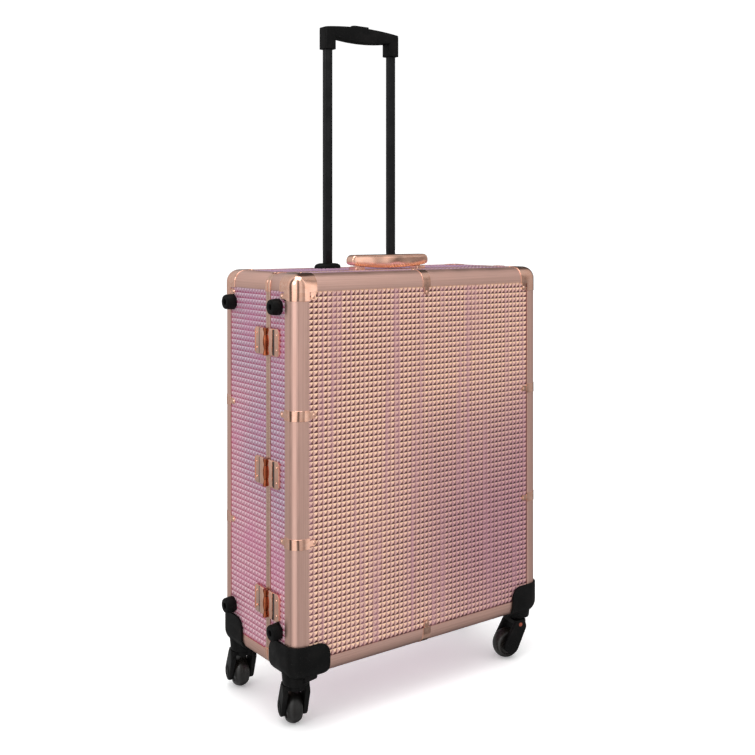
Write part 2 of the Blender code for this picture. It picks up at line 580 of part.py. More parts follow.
def build_trolley(top_wall):
    tube_bottom = CASE_HEIGHT - TUBE_HOLD
    socket_depth = SOCKET_HEIGHT - GRIP_ROUND * 2
    housing_top = CASE_HEIGHT - CAVITY_INSET - GAP
    housing_floor = tube_bottom - HANDLE_TRAVEL - SLIDE_GAP * 2
    bridge_run = (housing_floor - HOUSING_BRIDGE, housing_floor)
    reach = TUBE_HALF_SPACING + TUBE_WIDTH / 2
    wall_y = TUBE_DEPTH / 2 + SLIDE_GAP + HOUSING_WALL
    housing = add_piece("handle_housing", box_mesh(
        "handle_housing", *slab(((-reach, reach), (TUBE_Y - wall_y, TUBE_Y + wall_y), bridge_run))),
        STEEL, CASE_FRAME)
    for label, side in (("left", -1), ("right", 1)):
        x = side * TUBE_HALF_SPACING
        wall_x = TUBE_WIDTH / 2 + SLIDE_GAP + HOUSING_WALL
        channel = box_mesh("housing_channel_" + label, *slab((
            (x - wall_x, x + wall_x), (TUBE_Y - wall_y, TUBE_Y + wall_y), (bridge_run[0], housing_top))))
        combine(housing, add_tool("housing_channel_" + label, channel, CASE_FRAME), "UNION")
        tube = tube_hole("handle_tube_" + label, side, 0.0, (tube_bottom, SOCKET_BOTTOM + socket_depth))
        add_piece("handle_tube_" + label, tube, BLACK_TUBE, TROLLEY_SLIDE)
        bore = tube_hole("housing_bore_" + label, side, SLIDE_GAP, (housing_floor, FAR))
        combine(housing, add_tool("housing_bore_" + label, bore, CASE_FRAME))
        slot = tube_hole("wall_slot_" + label, side, SLIDE_GAP, (CASE_HEIGHT - EDGE_LEG, FAR))
        combine(top_wall, add_tool("wall_slot_" + label, slot, CASE_FRAME))
        build_collar(label, x, side)

    half_length, half_depth = GRIP_LENGTH / 2, GRIP_DEPTH / 2
    grip = add_piece("handle_grip", box_mesh(
        "handle_grip", *slab(((-half_length, half_length), (TUBE_Y - half_depth, TUBE_Y + half_depth),
                              (GRIP_TOP - GRIP_HEIGHT, GRIP_TOP))), radius=GRIP_ROUND, segments=3),
        BLACK_PLASTIC, TROLLEY_SLIDE)
    for label, side in (("left", -1), ("right", 1)):
        x_run = tuple(sorted((side * half_length, side * (half_length - SOCKET_WIDTH))))
        socket = box_mesh("grip_socket_" + label, *slab((
            x_run, (TUBE_Y - half_depth, TUBE_Y + half_depth), (SOCKET_BOTTOM, GRIP_TOP))),
            radius=GRIP_ROUND, segments=3)
        combine(grip, add_tool("grip_socket_" + label, socket, TROLLEY_SLIDE), "UNION")
        bore = tube_hole("grip_bore_" + label, side, GAP,
                         (SOCKET_BOTTOM - GRIP_ROUND, SOCKET_BOTTOM + socket_depth + GAP))
        combine(grip, add_tool("grip_bore_" + label, bore, TROLLEY_SLIDE))
    build_button(grip)


def build_collar(label, x, side):
    name = "handle_collar_" + label
    points = [(x + COLLAR_LENGTH / 2 * math.cos(turn), TUBE_Y + COLLAR_DEPTH / 2 * math.sin(turn))
              for turn in (2 * math.pi * i / ROUND_STEPS for i in range(ROUND_STEPS))]
    height = CASE_HEIGHT + COLLAR_HEIGHT - PANEL_TOP
    place = Matrix.Translation((0.0, 0.0, PANEL_TOP + height / 2))
    collar = add_piece(name, outline_mesh(name, points, height, place), BLACK_PLASTIC, CASE_FRAME)
    leg_room = box_mesh(name + "_leg_room", *slab(((-FAR, FAR), (HALF_DEPTH - EDGE_LEG - GAP, FAR),
                                                   (-FAR, CASE_HEIGHT + GAP))))
    combine(collar, add_tool(name + "_leg_room", leg_room, CASE_FRAME))
    hole = tube_hole(name + "_hole", side, SLIDE_GAP, (CASE_HEIGHT - EDGE_LEG, CASE_HEIGHT + EDGE_LEG))
    combine(collar, add_tool(name + "_hole", hole, CASE_FRAME))


def build_button(grip):
    half_x, half_y = BUTTON_LENGTH / 2, BUTTON_DEPTH / 2
    pivot = add_empty("button_slide", (0.0, TUBE_Y, GRIP_TOP), CASE_FRAME)
    button = box_mesh("release_button", *slab(((-half_x, half_x), (TUBE_Y - half_y, TUBE_Y + half_y),
                                               (GRIP_TOP - BUTTON_SUNK, GRIP_TOP + BUTTON_PROUD))),
                      radius=BUTTON_ROUND, along="Z", segments=4)
    add_piece("release_button", button, BLACK_PLASTIC, pivot)
    room = 2 * GAP
    pocket = box_mesh("button_pocket", *slab((
        (-half_x - room, half_x + room), (TUBE_Y - half_y - room, TUBE_Y + half_y + room),
        (GRIP_TOP - BUTTON_SUNK - BUTTON_TRAVEL - room, GRIP_TOP + GRIP_HEIGHT))),
        radius=BUTTON_ROUND, along="Z", segments=4)
    combine(grip, add_tool("button_pocket", pocket, TROLLEY_SLIDE))


# ------------------------------------------------------------------ carry handle
def carry_outline():
    """Front outline of the carry handle: flat top, round upper corners and a full belly."""
    half = CARRY_LENGTH / 2
    steps = 6
    corner = [(half - CARRY_CORNER * (1 - math.cos(turn)), CARRY_TOP - CARRY_CORNER * (1 - math.sin(turn)))
              for turn in (math.pi / 2 * i / steps for i in range(steps + 1))]
    belly_steps = 12
    belly = []
    for i in range(belly_steps + 1):
        share = -1 + 2 * i / belly_steps
        rise = (CARRY_END_HEIGHT - CARRY_BELLY_HEIGHT) * share * share
        belly.append((half * share, CARRY_BELLY_HEIGHT + rise))
    return corner + [(-x, z) for x, z in reversed(corner)] + belly


def build_carry_handle(top_wall):
    stand = Matrix.Translation((0.0, CARRY_Y, CASE_HEIGHT)) @ Matrix.Rotation(math.pi / 2, 4, "X")
    handle = add_piece("carry_handle", outline_mesh("carry_handle", carry_outline(), CARRY_DEPTH, stand),
                       POLISHED_METAL, CARRY_SLIDE)
    tang_low = CASE_HEIGHT + CARRY_BRACKET_HEIGHT - CARRY_TRAVEL - TANG_DEPTH
    for label, side in (("left", -1), ("right", 1)):
        x = side * TANG_HALF_SPACING
        tang_x = (x - TANG_WIDTH / 2, x + TANG_WIDTH / 2)
        tang_y = (CARRY_Y - TANG_DEPTH / 2, CARRY_Y + TANG_DEPTH / 2)
        tang = box_mesh("carry_tang_" + label, *slab((tang_x, tang_y,
                                                      (tang_low, CASE_HEIGHT + CARRY_END_HEIGHT + GAP))))
        combine(handle, add_tool("carry_tang_" + label, tang, CARRY_SLIDE), "UNION")
        half = CARRY_BRACKET_LENGTH / 2
        name = "carry_bracket_" + label
        bracket = add_piece(name, box_mesh(name, *slab((
            (x - half, x + half), (CARRY_Y - CARRY_DEPTH / 2, CARRY_Y + CARRY_DEPTH / 2),
            (PANEL_TOP, CASE_HEIGHT + CARRY_BRACKET_HEIGHT))), radius=CARRY_BRACKET_ROUND, along="Z",
            segments=3), POLISHED_METAL, CASE_FRAME)
        slot_spans = ((tang_x[0] - SLIDE_GAP, tang_x[1] + SLIDE_GAP),
                      (tang_y[0] - SLIDE_GAP, tang_y[1] + SLIDE_GAP),
                      (CASE_HEIGHT - EDGE_LEG, CASE_HEIGHT + EDGE_LEG))
        slot = add_tool("carry_slot_" + label, box_mesh("carry_slot_" + label, *slab(slot_spans)),
                        CASE_FRAME)
        combine(bracket, slot)
        combine(top_wall, slot)


# ------------------------------------------------------------------ casters
def capsule_outline(start, start_radius, end, end_radius, steps=10):
    """Two unlike circles joined by their outer tangents, counter-clockwise."""
    run = Vector(end) - Vector(start)
    heading = math.atan2(run.y, run.x)
    lean = math.acos((start_radius - end_radius) / run.length)
    points = []
    for centre, radius, first, last in ((end, end_radius, heading - lean, heading + lean),
                                        (start, start_radius, heading + lean,
                                         heading + 2 * math.pi - lean)):
        for i in range(steps + 1):
            turn = first + (last - first) * i / steps
            points.append((centre[0] + radius * math.cos(turn), centre[1] + radius * math.sin(turn)))
    return points


def fork_mesh():
    """One fork in its own coordinates: swivel axis at zero, +X the way it trails, floor at zero."""
    crown_bottom = FORK_TOP - CROWN_HEIGHT
    half_crown = CROWN_LENGTH / 2
    crown = box_mesh("fork_crown", (-half_crown, -FORK_HALF, crown_bottom),
                     (half_crown, FORK_HALF, FORK_TOP), radius=CROWN_ROUND, along="Z", segments=3)
    fork = bpy.data.objects.new("fork_pattern", crown)
    CUTTERS.objects.link(fork)
    tools = []

    def shape(tool_name, mesh, operation):
        tool = bpy.data.objects.new(tool_name, mesh)
        CUTTERS.objects.link(tool)
        combine(fork, tool, operation)
        tools.append(tool)

    outline = capsule_outline((0.0, FORK_TOP - CHEEK_TOP_DROP), CHEEK_TOP_RADIUS,
                              (WHEEL_TRAIL, WHEEL_RADIUS), CHEEK_HUB_RADIUS)
    for label, side in (("near", -1), ("far", 1)):
        stand = (Matrix.Translation((0.0, side * (FORK_HALF - CHEEK / 2), 0.0))
                 @ Matrix.Rotation(math.pi / 2, 4, "X"))
        shape("fork_cheek_" + label, outline_mesh("fork_cheek", outline, CHEEK, stand), "UNION")
    stem_length = BOSS_DROP + FORK_RUN_GAP - GAP
    stem_centre = (0.0, 0.0, FORK_TOP + (stem_length - GAP) / 2 - GAP)
    shape("fork_stem", cylinder_mesh("fork_stem", stem_centre, STEM_RADIUS, stem_length), "UNION")
    axle_hole = cylinder_mesh("fork_axle_hole", (WHEEL_TRAIL, 0.0, WHEEL_RADIUS), AXLE_RADIUS + GAP,
                              3 * FORK_HALF, axis="Y")
    shape("fork_axle_hole", axle_hole, "DIFFERENCE")
    mesh = evaluated_mesh("caster_fork", fork)
    for helper in [fork, *tools]:
        bpy.data.objects.remove(helper, do_unlink=True)
    smooth(mesh)
    return mesh


def wheel_mesh():
    bore = AXLE_RADIUS + AXLE_GAP
    dish, shoulder = WHEEL_RADIUS - WHEEL_DISH_EDGE, WHEEL_RADIUS - WHEEL_SHOULDER
    floor = WHEEL_HALF - WHEEL_DISH_DEPTH
    upper = [(bore, WHEEL_HALF), (WHEEL_HUB_RADIUS, WHEEL_HALF), (WHEEL_HUB_RADIUS + WHEEL_CHAMFER, floor),
             (dish, floor), (dish + WHEEL_CHAMFER, WHEEL_HALF - WHEEL_CHAMFER / 2),
             (shoulder, WHEEL_HALF - WHEEL_CHAMFER),
             (WHEEL_RADIUS - WHEEL_CHAMFER / 2, WHEEL_HALF - WHEEL_SHOULDER_DROP)]
    profile = upper + [(WHEEL_RADIUS, 0.0)] + [(radius, -z) for radius, z in reversed(upper)]
    return turned_mesh("caster_wheel", profile, True, Matrix.Rotation(math.pi / 2, 4, "X"))


def build_casters():
    fork, wheel = fork_mesh(), wheel_mesh()
    axle = cylinder_mesh("caster_axle", (0.0, 0.0, 0.0), AXLE_RADIUS, 2 * (FORK_HALF - GAP), axis="Y")
    for mesh, material in ((fork, BLACK_PLASTIC), (wheel, WHEEL_RUBBER), (axle, STEEL)):
        mesh.materials.clear()
        mesh.materials.append(material)
    for corner, degrees in TRAIL_TURN.items():
        side_y = -1 if corner.startswith("front") else 1
        side_x = -1 if corner.endswith("left") else 1
        place = (side_x * CASTER_X, side_y * CASTER_Y, -FLOOR_CLEARANCE)
        swivel = add_empty("swivel_" + corner, place, CASE_FRAME, math.radians(degrees))
        for name, mesh, location in (("fork", fork, (0.0, 0.0, 0.0)),
                                     ("wheel", wheel, (WHEEL_TRAIL, 0.0, WHEEL_RADIUS)),
                                     ("axle", axle, (WHEEL_TRAIL, 0.0, WHEEL_RADIUS))):
            piece = bpy.data.objects.new(f"{name}_{corner}", mesh)
            PARTS.objects.link(piece)
            piece.parent = swivel
            piece.location = location


# ------------------------------------------------------------------ assembly
def build_case():
    build_shell("lid", "front_panel", -1, LID_PIVOT)
    body_walls = build_shell("body", "back_panel", 1, CASE_FRAME)
    for corner in TRAIL_TURN:
        front = corner.startswith("front")
        build_bracket(corner, -1 if corner.endswith("left") else 1, -1 if front else 1,
                      LID_PIVOT if front else CASE_FRAME)
    lower_foot = BRACKET_HEIGHT + FOOT_RADIUS + GAP * 4
    for level, z in (("upper", CASE_HEIGHT - FOOT_TOP_INSET), ("lower", lower_foot)):
        build_foot(f"side_foot_{level}_front", FOOT_INSET_FRONT - HALF_DEPTH, z, LID_PIVOT, False)
        build_foot(f"side_foot_{level}_rear", HALF_DEPTH - FOOT_INSET_REAR, z, CASE_FRAME, True)
    top_hinge = CASE_HEIGHT - HINGE_TOP_INSET
    for number, z in enumerate((top_hinge, (top_hinge + HINGE_BOTTOM_INSET) / 2, HINGE_BOTTOM_INSET), 1):
        build_hinge(number, z)
    build_latch("upper", CASE_HEIGHT - LATCH_INSET)
    build_latch("lower", LATCH_INSET)
    build_trolley(body_walls["body_wall_top"])
    build_carry_handle(body_walls["body_wall_top"])
    build_casters()

    glass_front = -HALF_DEPTH + PANEL_DROP + PLATE + GAP
    mirror = box_mesh("mirror", *slab((across(MIRROR_BORDER_X), (glass_front, glass_front + MIRROR_THICKNESS),
                                       upright(MIRROR_BORDER_Z))), radius=MIRROR_ROUND, along="Y", segments=4)
    add_piece("mirror", mirror, MIRROR_GLASS, LID_PIVOT)


build_case()
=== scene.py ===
"""Looks of the studded make-up trolley case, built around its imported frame.

Every length is in metres in the frame's own axes: +X to the case's right, +Y to its back, +Z up.
"""

import json
import logging
import math
from contextlib import contextmanager
from dataclasses import dataclass, field
from enum import Enum
from typing import Callable, Iterator, Sequence

import bpy
from mathutils import Matrix, Vector

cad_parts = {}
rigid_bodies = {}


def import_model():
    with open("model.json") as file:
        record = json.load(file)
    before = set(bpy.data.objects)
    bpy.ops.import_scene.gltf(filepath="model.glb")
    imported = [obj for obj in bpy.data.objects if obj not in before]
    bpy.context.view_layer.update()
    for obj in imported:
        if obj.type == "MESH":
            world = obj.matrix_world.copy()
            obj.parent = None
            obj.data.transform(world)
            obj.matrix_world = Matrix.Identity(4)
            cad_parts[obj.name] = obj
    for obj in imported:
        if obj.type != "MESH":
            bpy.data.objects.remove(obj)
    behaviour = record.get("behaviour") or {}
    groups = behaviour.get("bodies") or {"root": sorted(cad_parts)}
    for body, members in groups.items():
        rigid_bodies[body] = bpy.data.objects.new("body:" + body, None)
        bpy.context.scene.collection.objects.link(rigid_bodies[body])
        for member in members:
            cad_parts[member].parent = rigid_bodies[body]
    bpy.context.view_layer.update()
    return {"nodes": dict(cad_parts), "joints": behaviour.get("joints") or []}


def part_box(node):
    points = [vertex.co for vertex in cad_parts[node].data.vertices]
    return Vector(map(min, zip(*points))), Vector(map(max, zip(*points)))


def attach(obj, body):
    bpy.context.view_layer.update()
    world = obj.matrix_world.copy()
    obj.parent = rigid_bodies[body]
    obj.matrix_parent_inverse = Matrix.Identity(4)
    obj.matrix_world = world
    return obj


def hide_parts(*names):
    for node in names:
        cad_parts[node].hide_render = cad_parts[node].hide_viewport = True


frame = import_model()

LOG = logging.getLogger("make_up_case")
Mesh = bpy.types.Object
Point = tuple[float, float, float]
HAIRLINE = 0.00005                 # tolerance when faces are picked by their place
SMOOTH_ANGLE = math.radians(32)


# ====================================================================== bench: modelling by operators
class Element(Enum):
    """What edit mode selects."""

    VERTEX = (True, False, False)
    EDGE = (False, True, False)
    FACE = (False, False, True)


def activate(piece: Mesh) -> None:
    """Select one object alone and make it the active one."""
    bpy.ops.object.select_all(action="DESELECT")
    piece.select_set(True)
    bpy.context.view_layer.objects.active = piece


@contextmanager
def editing(piece: Mesh, kind: Element = Element.FACE,
            wanted: Callable[[object], bool] = lambda element: True) -> Iterator[None]:
    """Open a piece in edit mode with the wanted elements selected.

    Args:
        piece: the object to edit.
        kind: which kind of element is picked.
        wanted: says of a vertex, edge or polygon whether it is selected.
    """
    activate(piece)
    mesh = piece.data
    groups = {Element.VERTEX: mesh.vertices, Element.EDGE: mesh.edges, Element.FACE: mesh.polygons}
    for group in groups.values():
        group.foreach_set("select", [False] * len(group))
    for element in groups[kind]:
        element.select = wanted(element)
    bpy.context.tool_settings.mesh_select_mode = kind.value
    bpy.ops.object.mode_set(mode="EDIT")
    yield
    bpy.ops.object.mode_set(mode="OBJECT")


def settle(piece: Mesh, name: str) -> Mesh:
    """Name a fresh primitive and put its place into its mesh.

    Args:
        piece: the new object.
        name: its name.

    Returns:
        The same object, at the origin.
    """
    activate(piece)
    piece.name = piece.data.name = name
    bpy.ops.object.transform_apply(location=True, rotation=True, scale=True)
    return piece


def block(name: str, low: Sequence[float], high: Sequence[float]) -> Mesh:
    """Add a box between two corners.

    Args:
        name: the object's name.
        low: its lowest corner.
        high: its highest corner.

    Returns:
        The new object.
    """
    low, high = Vector(map(min, low, high)), Vector(map(max, low, high))
    bpy.ops.object.select_all(action="DESELECT")
    bpy.ops.mesh.primitive_cube_add(size=1.0, location=(low + high) / 2)
    cube = bpy.context.active_object
    cube.scale = high - low
    return settle(cube, name)


def turned(name: str, rings: Sequence[tuple[float, float]], centre: Sequence[float] = (0, 0, 0),
           axis: Sequence[float] = (0, 0, 1), steps: int = 40) -> Mesh:
    """Draw a ring out along an axis, ring by ring, and close both ends.

    Args:
        name: the object's name.
        rings: radius and height of each ring, along the axis from the centre.
        centre: where height zero is.
        axis: the axis of the turned shape.
        steps: corners in a ring.

    Returns:
        The new object.
    """
    bpy.ops.object.select_all(action="DESELECT")
    radius, height = rings[0]
    bpy.ops.mesh.primitive_circle_add(vertices=steps, radius=radius, fill_type="NGON",
                                      location=(0.0, 0.0, height))
    piece = settle(bpy.context.active_object, name)
    with editing(piece, Element.FACE):
        for next_radius, next_height in rings[1:]:
            bpy.ops.mesh.extrude_region_move(
                TRANSFORM_OT_translate={"value": (0.0, 0.0, next_height - height)})
            share = next_radius / radius
            bpy.ops.transform.resize(value=(share, share, 1.0), center_override=(0.0, 0.0, next_height))
            radius, height = next_radius, next_height
        bpy.ops.mesh.select_all(action="SELECT")
        bpy.ops.mesh.normals_make_consistent(inside=False)
    heading = Vector(axis).to_track_quat("Z", "Y").to_matrix().to_4x4()
    piece.matrix_world = Matrix.Translation(centre) @ heading
    return settle(piece, name)


def modify(piece: Mesh, kind: str, **settings: object) -> Mesh:
    """Add one modifier, set it and apply it.

    Args:
        piece: the object to change.
        kind: the modifier's type.
        settings: values of the modifier.

    Returns:
        The same object.
    """
    activate(piece)
    modifier = piece.modifiers.new(kind.lower(), kind)
    for key, value in settings.items():
        setattr(modifier, key, value)
    bpy.ops.object.modifier_apply(modifier=modifier.name)
    return piece


def combine(piece: Mesh, tools: Sequence[Mesh], operation: str) -> Mesh:
    """Shape a piece with other solids, which are used up.

    Args:
        piece: the object that stays.
        tools: the objects that cut or join it.
        operation: UNION, DIFFERENCE or INTERSECT.

    Returns:
        The piece.
    """
    for tool in tools:
        modify(piece, "BOOLEAN", operation=operation, solver="EXACT", object=tool)
        bpy.data.objects.remove(tool, do_unlink=True)
    return piece


def joined(pieces: Sequence[Mesh], name: str) -> Mesh:
    """Join several objects into one.

    Args:
        pieces: the objects, of which the first one stays.
        name: the name of the result.

    Returns:
        The joined object.
    """
    activate(pieces[0])
    for piece in pieces[1:]:
        piece.select_set(True)
    if len(pieces) > 1:
        bpy.ops.object.join()
    pieces[0].name = pieces[0].data.name = name
    return pieces[0]


def copy_of(piece: Mesh, name: str, place: Matrix = Matrix.Identity(4)) -> Mesh:
    """Copy a piece with a mesh of its own and put it in another place.

    Args:
        piece: the pattern.
        name: the copy's name.
        place: the move, turn or mirroring from the pattern's place.

    Returns:
        The copy, with its place in its mesh.
    """
    copy = piece.copy()
    copy.data = piece.data.copy()
    bpy.context.scene.collection.objects.link(copy)
    copy.matrix_world = place
    settle(copy, name)
    if place.determinant() < 0:
        with editing(copy, Element.FACE):
            bpy.ops.mesh.normals_make_consistent(inside=False)
    return copy


def round_edges(piece: Mesh, width: float, segments: int = 2,
                wanted: Callable[[object], bool] = lambda edge: True) -> Mesh:
    """Bevel the wanted edges in edit mode.

    Args:
        piece: the object to change.
        width: the bevel's width.
        segments: its steps.
        wanted: says which edges are rounded.

    Returns:
        The same object.
    """
    with editing(piece, Element.EDGE, wanted):
        bpy.ops.mesh.bevel(offset=width, segments=segments, affect="EDGES", profile=0.5, clamp_overlap=True)
    return piece


def soften(piece: Mesh, width: float, segments: int = 2, angle: float = math.radians(35)) -> Mesh:
    """Bevel every edge sharper than an angle.

    Args:
        piece: the object to change.
        width: the bevel's width.
        segments: its steps.
        angle: edges flatter than this stay.

    Returns:
        The same object.
    """
    return modify(piece, "BEVEL", width=width, segments=segments, limit_method="ANGLE", angle_limit=angle,
                  use_clamp_overlap=True, harden_normals=False)


def runs_along(piece: Mesh, axis: int) -> Callable[[object], bool]:
    """Make a test for edges that run along an axis.

    Args:
        piece: the object whose edges are tested.
        axis: 0, 1 or 2.

    Returns:
        The test, for round_edges.
    """
    vertices = piece.data.vertices

    def along(edge: object) -> bool:
        """Say whether this edge runs along the axis."""
        run = vertices[edge.vertices[1]].co - vertices[edge.vertices[0]].co
        return abs(run[axis]) > 0.99 * run.length
    return along


def trimmed(piece: Mesh, axis: int, low: float, high: float, fill: bool = False) -> Mesh:
    """Keep only the part of a piece between two planes.

    Args:
        piece: the object to cut.
        axis: the axis that the planes stand on.
        low: the lower plane.
        high: the upper plane.
        fill: whether the cuts are closed.

    Returns:
        The same object.
    """
    normal = Vector((0.0, 0.0, 0.0))
    normal[axis] = 1.0
    for place, outer in ((low, False), (high, True)):
        with editing(piece, Element.FACE):
            bpy.ops.mesh.bisect(plane_co=normal * place, plane_no=normal, use_fill=fill,
                                clear_inner=not outer, clear_outer=outer)
    return piece


def finished(piece: Mesh, material: bpy.types.Material, body: str,
             replaces: Sequence[str] = (), smooth: bool = True) -> Mesh:
    """Dress a piece, hang it on its body and report it.

    Args:
        piece: the finished mesh.
        material: its finish.
        body: the CAD body that it rides on.
        replaces: CAD nodes that it stands for.
        smooth: whether its round faces are shaded smooth.

    Returns:
        The piece.
    """
    activate(piece)
    if smooth:
        bpy.ops.object.shade_smooth_by_angle(angle=SMOOTH_ANGLE)
    piece.data.materials.clear()
    piece.data.materials.append(material)
    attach(piece, body)
    if replaces:
        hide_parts(*replaces)
    LOG.info("%s rides on %s, %d faces", piece.name, body, len(piece.data.polygons))
    return piece


# ====================================================================== shader groups
class Wires:
    """A short hand for building one node tree."""

    def __init__(self, tree: bpy.types.NodeTree) -> None:
        """Keep the tree that nodes are added to."""
        self.tree = tree

    def node(self, kind: str, settings: dict[str, object] | None = None,
             **inputs: object) -> bpy.types.Node:
        """Add a node.

        Args:
            kind: the node's type without the ShaderNode prefix.
            settings: attributes of the node.
            inputs: a value or an output socket for each input, named with underscores or as sN for
                the socket at place N.

        Returns:
            The node.
        """
        made = self.tree.nodes.new("ShaderNode" + kind)
        for key, value in (settings or {}).items():
            setattr(made, key, value)
        for key, value in inputs.items():
            place = int(key[1:]) if key[0] == "s" and key[1:].isdigit() else key.replace("_", " ")
            if isinstance(value, bpy.types.NodeSocket):
                self.tree.links.new(value, made.inputs[place])
            else:
                made.inputs[place].default_value = value
        return made

    def math(self, operation: str, first: object, second: object = 0.0, third: object = 0.0) -> object:
        """Add a Math node and return its output."""
        return self.node("Math", {"operation": operation}, s0=first, s1=second, s2=third).outputs[0]

    def mix(self, share: object, first: object, second: object, blend: str = "MIX") -> object:
        """Add a colour Mix node and return its output."""
        mixer = self.node("Mix", {"data_type": "RGBA", "blend_type": blend}, s0=share, s6=first, s7=second)
        return mixer.outputs[2]

    def ramp(self, value: object, stops: Sequence[tuple[float, Sequence[float]]]) -> object:
        """Add a Color Ramp.

        Args:
            value: the socket that drives it.
            stops: place and colour of each stop.

        Returns:
            The colour socket.
        """
        made = self.node("ValToRGB", s0=value)
        elements = made.color_ramp.elements
        for index, (place, colour) in enumerate(stops):
            stop = elements[index] if index < 2 else elements.new(place)
            stop.position = place
            stop.color = (*colour, 1.0)
        return made.outputs[0]

    def step(self, value: object, low: float, high: float, to_low: float = 0.0,
             to_high: float = 1.0) -> object:
        """Map a value smoothly from one range to another and return the socket."""
        return self.node("MapRange", {"interpolation_type": "SMOOTHSTEP"}, s0=value, s1=low, s2=high,
                         s3=to_low, s4=to_high).outputs[0]


def new_group(name: str, inputs: dict[str, tuple[str, object]], outputs: dict[str, str]
              ) -> tuple[bpy.types.NodeTree, Wires, dict[str, object]]:
    """Start a shader group.

    Args:
        name: its name.
        inputs: socket type and default of each input.
        outputs: socket type of each output.

    Returns:
        The tree, its wires and its input sockets by name.
    """
    tree = bpy.data.node_groups.new(name, "ShaderNodeTree")
    for key, (kind, default) in inputs.items():
        socket = tree.interface.new_socket(name=key, in_out="INPUT", socket_type="NodeSocket" + kind)
        if default is not None:
            socket.default_value = default
    for key, kind in outputs.items():
        tree.interface.new_socket(name=key, in_out="OUTPUT", socket_type="NodeSocket" + kind)
    wires = Wires(tree)
    entry = tree.nodes.new("NodeGroupInput")
    return tree, wires, {socket.name: socket for socket in entry.outputs if socket.name}


def close_group(tree: bpy.types.NodeTree, **results: object) -> bpy.types.NodeTree:
    """Join a group's results to its outputs.

    Args:
        tree: the group.
        results: a socket for each output, named with underscores.

    Returns:
        The group.
    """
    exit_node = tree.nodes.new("NodeGroupOutput")
    for key, socket in results.items():
        tree.links.new(socket, exit_node.inputs[key.replace("_", " ")])
    return tree


def drawn_lines_group() -> bpy.types.NodeTree:
    """Build the fine lines that drawing leaves along metal.

    Returns:
        A group that turns a place into a line mask and a height.
    """
    tree, wires, given = new_group(
        "drawn_lines",
        {"Vector": ("Vector", None), "Across": ("Float", 4000.0), "Along": ("Float", 20.0)},
        {"Lines": "Float", "Height": "Float"})
    stretch = wires.node("CombineXYZ", s0=given["Across"], s1=given["Along"], s2=given["Along"])
    place = wires.node("VectorMath", {"operation": "MULTIPLY"}, s0=given["Vector"], s1=stretch.outputs[0])
    fine = wires.node("TexNoise", Vector=place.outputs[0], Scale=1.0, Detail=3.0, Roughness=0.65)
    wide_place = wires.node("VectorMath", {"operation": "MULTIPLY"}, s0=place.outputs[0],
                            s1=(0.22, 0.5, 0.5))
    wide = wires.node("TexNoise", Vector=wide_place.outputs[0], Scale=1.0, Detail=1.0)
    both = wires.math("MULTIPLY_ADD", wide.outputs[0], 0.6, wires.math("MULTIPLY", fine.outputs[0], 0.4))
    return close_group(tree, Lines=wires.step(both, 0.35, 0.65), Height=both)


def handling_group() -> bpy.types.NodeTree:
    """Build the smudges and dust that handling leaves on any finish.

    Returns:
        A group that turns a place into a smudge mask, a speck mask and a grain height.
    """
    tree, wires, given = new_group(
        "handling",
        {"Vector": ("Vector", None), "Smudge Size": ("Float", 14.0), "Grain Size": ("Float", 1800.0)},
        {"Smudge": "Float", "Specks": "Float", "Grain": "Float"})
    cloud = wires.node("TexNoise", Vector=given["Vector"], Scale=given["Smudge Size"], Detail=4.0,
                       Roughness=0.6, Distortion=0.4)
    speck = wires.node("TexNoise", Vector=given["Vector"],
                       Scale=wires.math("MULTIPLY", given["Smudge Size"], 28.0),
                       Detail=2.0)
    grain = wires.node("TexNoise", Vector=given["Vector"], Scale=given["Grain Size"], Detail=2.0,
                       Roughness=0.7)
    return close_group(tree, Smudge=wires.step(cloud.outputs[0], 0.42, 0.68),
                       Specks=wires.step(speck.outputs[0], 0.66, 0.74), Grain=grain.outputs[0])


DRAWN_LINES = drawn_lines_group()
HANDLING = handling_group()


def use_group(wires: Wires, group: bpy.types.NodeTree, **inputs: object) -> bpy.types.Node:
    """Place a shader group in a material.

    Args:
        wires: the material's wires.
        group: the group.
        inputs: values or sockets, named with underscores.

    Returns:
        The group's node.
    """
    return wires.node("Group", {"node_tree": group}, **inputs)


def object_place(wires: Wires) -> object:
    """Return the Object coordinate socket of a new Texture Coordinate node."""
    return wires.node("TexCoord").outputs["Object"]


def new_material(name: str) -> tuple[bpy.types.Material, Wires, bpy.types.Node]:
    """Start a material.

    Args:
        name: its name.

    Returns:
        The material, its wires and its Principled shader.
    """
    material = bpy.data.materials.new(name)
    material.use_nodes = True
    return material, Wires(material.node_tree), material.node_tree.nodes["Principled BSDF"]


def set_shader(shader: bpy.types.Node, **values: object) -> None:
    """Set plain values on a shader's own sockets, named with underscores."""
    for key, value in values.items():
        shader.inputs[key.replace("_", " ")].default_value = value


Colour = tuple[float, float, float]


